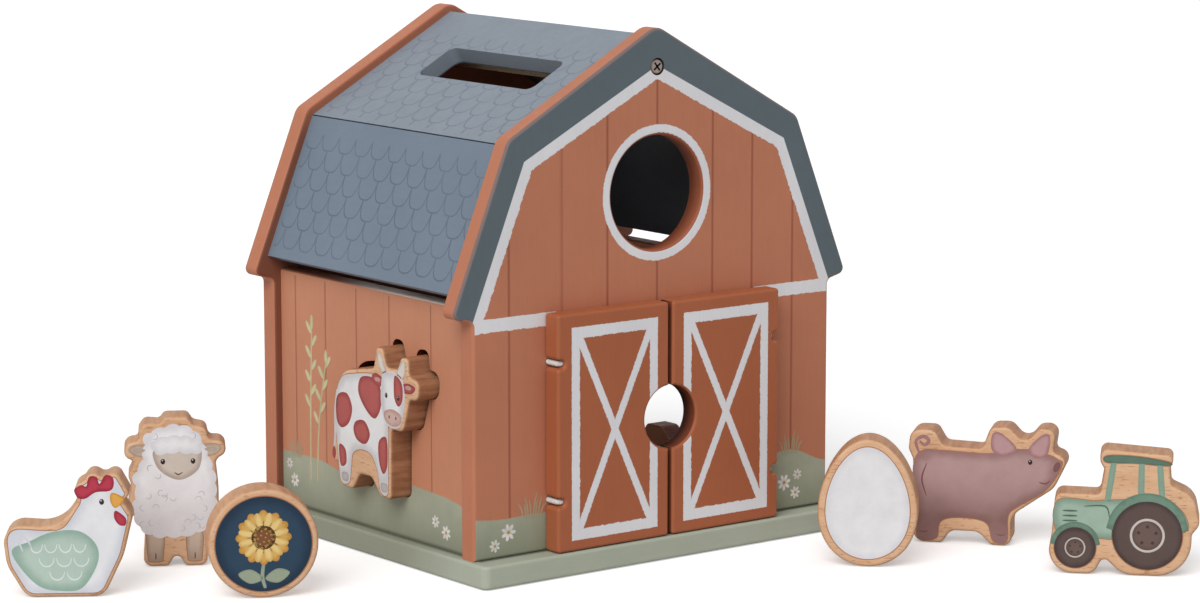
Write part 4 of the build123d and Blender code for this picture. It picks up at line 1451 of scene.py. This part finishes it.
def stalk(u, v, height, lean=0.0, pairs=6, lift=0.05):
    """A tall stem with oval leaves, first at one side and then at the other."""
    def along(t):
        return (u + lean * t * t, v + height * t)
    shapes = brushed(lift, "stalk", 0.95, [along(t) for t in (0, 0.35, 0.7, 1.0)], ends=0.7)
    for i in range(pairs):
        side = 1 if i % 2 else -1
        pu, pv = along(0.48 + 0.48 * i / (pairs - 1))
        leaf = oval(pu + side * 1.9, pv + 2.2, 2.8, 1.05, 90.0 - 38.0 * side, 16)
        shapes.append((leaf, lift + 0.012 + 0.008 * (i % 3), "stalk"))
    pu, pv = along(1.0)
    shapes.append((oval(pu, pv + 2.0, 2.8, 1.0, 90.0, 16), lift + 0.036, "stalk"))
    return shapes


print("daisies, tufts and stalks ready")

# %% [markdown]
# Each daisy, tuft and stalk is placed on its board by across and up, in a layout of our own. The
# right wall and the rear gable, which the photograph doesn't show, have a few as well.

# %% Print the walls and gables
board_prints = {
    "left_wall": (
        Face((-WALL_FACE, 0, 0), (0, -1, 0), (-1, 0, 0)),
        stalk(-41.0, 20.0, 58.0, 1.6, 7) + stalk(-36.4, 20.0, 46.0, 6.4, 6, 0.11)
        + daisy(-52.0, 18.0, 2.6) + daisy(-55.5, 24.0, 2.0, 0.4) + tuft(-51.0, 28.0, 7.5)
        + daisy(40.0, 18.0, 2.2) + daisy(46.5, 15.0, 2.6, 0.5)),
    "right_wall": (
        Face((WALL_FACE, 0, 0), (0, 1, 0), (1, 0, 0)),
        daisy(-44.0, 18.0, 2.6) + daisy(48.0, 17.0, 2.4, 0.3) + tuft(-50.0, 27.6, 7.5)
        + stalk(50.4, 22.0, 50.0, 1.0) + tuft(-22.0, 26.8, 6.0) + daisy(-38.0, 14.0, 2.2)),
    "front_gable": (
        Face((0, -GABLE_FACE, 0), (1, 0, 0), (0, -1, 0)),
        daisy(-67.0, 17.4, 3.0) + daisy(-73.0, 13.2, 2.2, 0.4) + tuft(-56.5, 22.0, 9.0)
        + daisy(61.0, 19.0, 3.0, 0.2) + daisy(66.5, 14.6, 2.3) + daisy(67.5, 21.4, 2.0, 0.5)
        + tuft(64.0, 30.4, 8.5)),
    "rear_gable": (
        Face((0, GABLE_FACE, 0), (-1, 0, 0), (0, 1, 0)),
        daisy(-70.0, 17.0, 2.6) + daisy(72.0, 16.0, 2.4, 0.3) + tuft(71.0, 22.6, 7.5)
        + daisy(2.0, 15.0, 2.4)),
}
for name, (face, shapes) in board_prints.items():
    skin(f"{name}_print", face, shapes, "barn")

# %% [markdown]
# ## Elastic hinge cords
#
# Each cord runs from its knot inside the gable, through the board, round the corner and into
# the door's edge. Strands wind both ways round a smooth line, which gives the braid.

# %% The elastic and its line
CORD_RADIUS = 1.08
KNOT_RADIUS = 2.3
BRAID_LENGTH = 3.0
ELASTIC_SHADE = srgb(214, 212, 208)
ELASTIC_LIGHT = srgb(240, 238, 234)


def elastic():
    s = Sketch("elastic")
    weave = s.noise(2.2, 3.0, 0.6)
    colour = s.mix(s.ramp(weave, 0.3, 0.7), ELASTIC_SHADE, ELASTIC_LIGHT)
    return s.finish(colour, 0.75, s.bump(weave, 0.4, 0.08), specular=0.25)


elastic_material = elastic()


def cord_line(points):
    """Points along a smooth open spline through the route."""
    curve = bpy.data.curves.new("route", "CURVE")
    curve.dimensions = "3D"
    spline = curve.splines.new("NURBS")
    spline.points.add(len(points) - 1)
    for point, place in zip(spline.points, points):
        point.co = (*place, 1.0)
    spline.order_u = 3
    spline.use_endpoint_u = True
    spline.resolution_u = 8
    holder = bpy.data.objects.new("route", curve)
    mesh = bpy.data.meshes.new_from_object(holder)
    line = [v.co.copy() for v in mesh.vertices]
    bpy.data.objects.remove(holder)
    return line


def dense(line, step):
    """The same line with points no further apart than step."""
    made = [line[0]]
    for a, b in zip(line, line[1:]):
        count = max(1, math.ceil((b - a).length / step))
        made += [a.lerp(b, (i + 1) / count) for i in range(count)]
    return made


print("elastic ready")

# %% [markdown]
# The tube is a ring of points at each place of the line, pushed in and out by the strands. The
# knot is a ball with three wound lobes at the line's first point.

# %% Braid a cord
AROUND = 24


def add_tube(build, line, radius):
    """A closed tube along the line, with strands that wind both ways."""
    rings = []
    side = None
    length = 0.0
    for i, p in enumerate(line):
        d = (line[min(i + 1, len(line) - 1)] - line[max(i - 1, 0)]).normalized()
        side = Vector((0, 0, 1)) if side is None else (side - d * side.dot(d)).normalized()
        other = d.cross(side)
        length += (p - line[i - 1]).length if i else 0.0
        turn = length / (BRAID_LENGTH * MM) * 2 * math.pi
        ring = []
        for k in range(AROUND):
            a = 2 * math.pi * k / AROUND
            share = radius * (1.0 + 0.05 * math.cos(6 * a + turn) * math.cos(6 * a - turn))
            ring.append(build.verts.new(p + side * math.cos(a) * share + other * math.sin(a) * share))
        rings.append(ring)
    for first, second in zip(rings, rings[1:]):
        for k in range(AROUND):
            j = (k + 1) % AROUND
            build.faces.new((first[k], first[j], second[j], second[k]))
    build.faces.new(rings[0][::-1])
    build.faces.new(rings[-1])


def add_knot(build, place):
    knot = bmesh.ops.create_uvsphere(build, u_segments=28, v_segments=18, radius=KNOT_RADIUS * MM)
    for vert in knot["verts"]:
        a = math.atan2(vert.co.z, vert.co.x)
        vert.co *= 1.0 - 0.10 * math.cos(3 * a + vert.co.y / (0.7 * MM)) ** 2
        vert.co += place


def braided(name, line, radius):
    """A braided cord along a line of points, with its knot at the first point."""
    build = bmesh.new()
    add_tube(build, line, radius)
    add_knot(build, line[0])
    bmesh.ops.recalc_face_normals(build, faces=build.faces)
    mesh = bpy.data.meshes.new(name)
    build.to_mesh(mesh)
    build.free()
    mesh.shade_smooth()
    mesh.materials.append(elastic_material)
    piece = bpy.data.objects.new(name, mesh)
    bpy.context.scene.collection.objects.link(piece)
    return piece


print("braiding ready")

# %% [markdown]
# The route is a list of across and depth, the same for all four cords: straight out through the
# gable board, then along the door's notch. The cord bends between the board and the notch.

# %% Place the four cords
CORD_ACROSS = 49.05
CORD_OUT = -73.6
CORD_POINTS = 0.3
route = [(CORD_ACROSS, -57.6), (CORD_ACROSS, -64.0), (CORD_ACROSS, -70.4), (CORD_ACROSS, CORD_OUT),
         (46.4, CORD_OUT), (43.0, CORD_OUT), (39.1, CORD_OUT)]
cord_heights = {"lower": 27.0, "upper": 77.0}

for side, side_name in ((-1, "left"), (1, "right")):
    for level, z in cord_heights.items():
        line = cord_line([Vector((side * x, y, z)) * MM for x, y in route])
        cord = braided(f"elastic_{side_name}_{level}", dense(line, CORD_POINTS * MM), CORD_RADIUS * MM)
        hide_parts(f"hinge_cord_{side_name}_{level}")
        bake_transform(cord)
print("cords braided:", 2 * len(cord_heights))

# %% [markdown]
# ## Floor
#
# A pale floor keeps the toy's shadow. Rays from the camera, and through mirrors and glass, see it
# a little brighter than the light that it gives back to the toy, so that it meets the background
# without an edge.

# %% The floor
FLOOR_GREY = (0.62, 0.62, 0.62, 1)
FLOOR_SEEN = (0.92, 0.92, 0.92, 1)
FLOOR_GLOW = 0.36
FLOOR_SIZE = 16.0
FLOOR_HEIGHT = -0.0002


def seen_directly(tree):
    """1 for a ray from the camera, in a mirror or through glass, and 0 for one that lights the toy."""
    path = tree.nodes.new("ShaderNodeLightPath")
    seen = path.outputs["Is Camera Ray"]
    for kind in ("Is Glossy Ray", "Is Transmission Ray"):
        larger = tree.nodes.new("ShaderNodeMath")
        larger.operation = "MAXIMUM"
        tree.links.new(seen, larger.inputs[0])
        tree.links.new(path.outputs[kind], larger.inputs[1])
        seen = larger.outputs[0]
    return seen


def floor_material():
    s = Sketch("floor")
    seen = seen_directly(s.tree)
    s.feed(s.surface.inputs["Emission Color"], (1, 1, 1, 1))
    s.feed(s.surface.inputs["Emission Strength"], s.times(seen, FLOOR_GLOW))
    return s.finish(s.mix(seen, FLOOR_GREY, FLOOR_SEEN), 0.9, specular=0.0)


bpy.ops.object.select_all(action="DESELECT")
bpy.ops.mesh.primitive_plane_add(size=FLOOR_SIZE, location=(0, 0, FLOOR_HEIGHT))
floor = bpy.context.object
floor.name = "floor"
floor.data.materials.append(floor_material())
print("floor laid")

# %% [markdown]
# ## Light and background
#
# One broad soft sun stands at the upper left, and an even sky fills the shadows. Camera rays,
# mirrors and glass see plain white behind it all.

# %% Sun and sky
SKY_LIGHT = 0.385


def sun(name, towards, factor, angle):
    """A soft light whose full-on brightness is factor times white."""
    data = bpy.data.lights.new(name, "SUN")
    data.energy = factor * math.pi
    data.angle = math.radians(angle)
    light = bpy.data.objects.new(name, data)
    light.rotation_mode = "QUATERNION"
    light.rotation_quaternion = Vector(towards).to_track_quat("Z", "Y")
    bpy.context.scene.collection.objects.link(light)


sun("key", (-0.62, -0.42, 0.66), 0.62, 40.0)

world = bpy.data.worlds.new("studio")
world.use_nodes = True
bpy.context.scene.world = world
tree = world.node_tree
background = tree.nodes["Background"]
level = tree.nodes.new("ShaderNodeMapRange")
level.inputs["To Min"].default_value = SKY_LIGHT
level.inputs["To Max"].default_value = 1.0
tree.links.new(seen_directly(tree), level.inputs["Value"])
background.inputs["Color"].default_value = (1, 1, 1, 1)
tree.links.new(level.outputs[0], background.inputs["Strength"])
bpy.context.scene.view_settings.view_transform = "Standard"
print("sun and sky set")
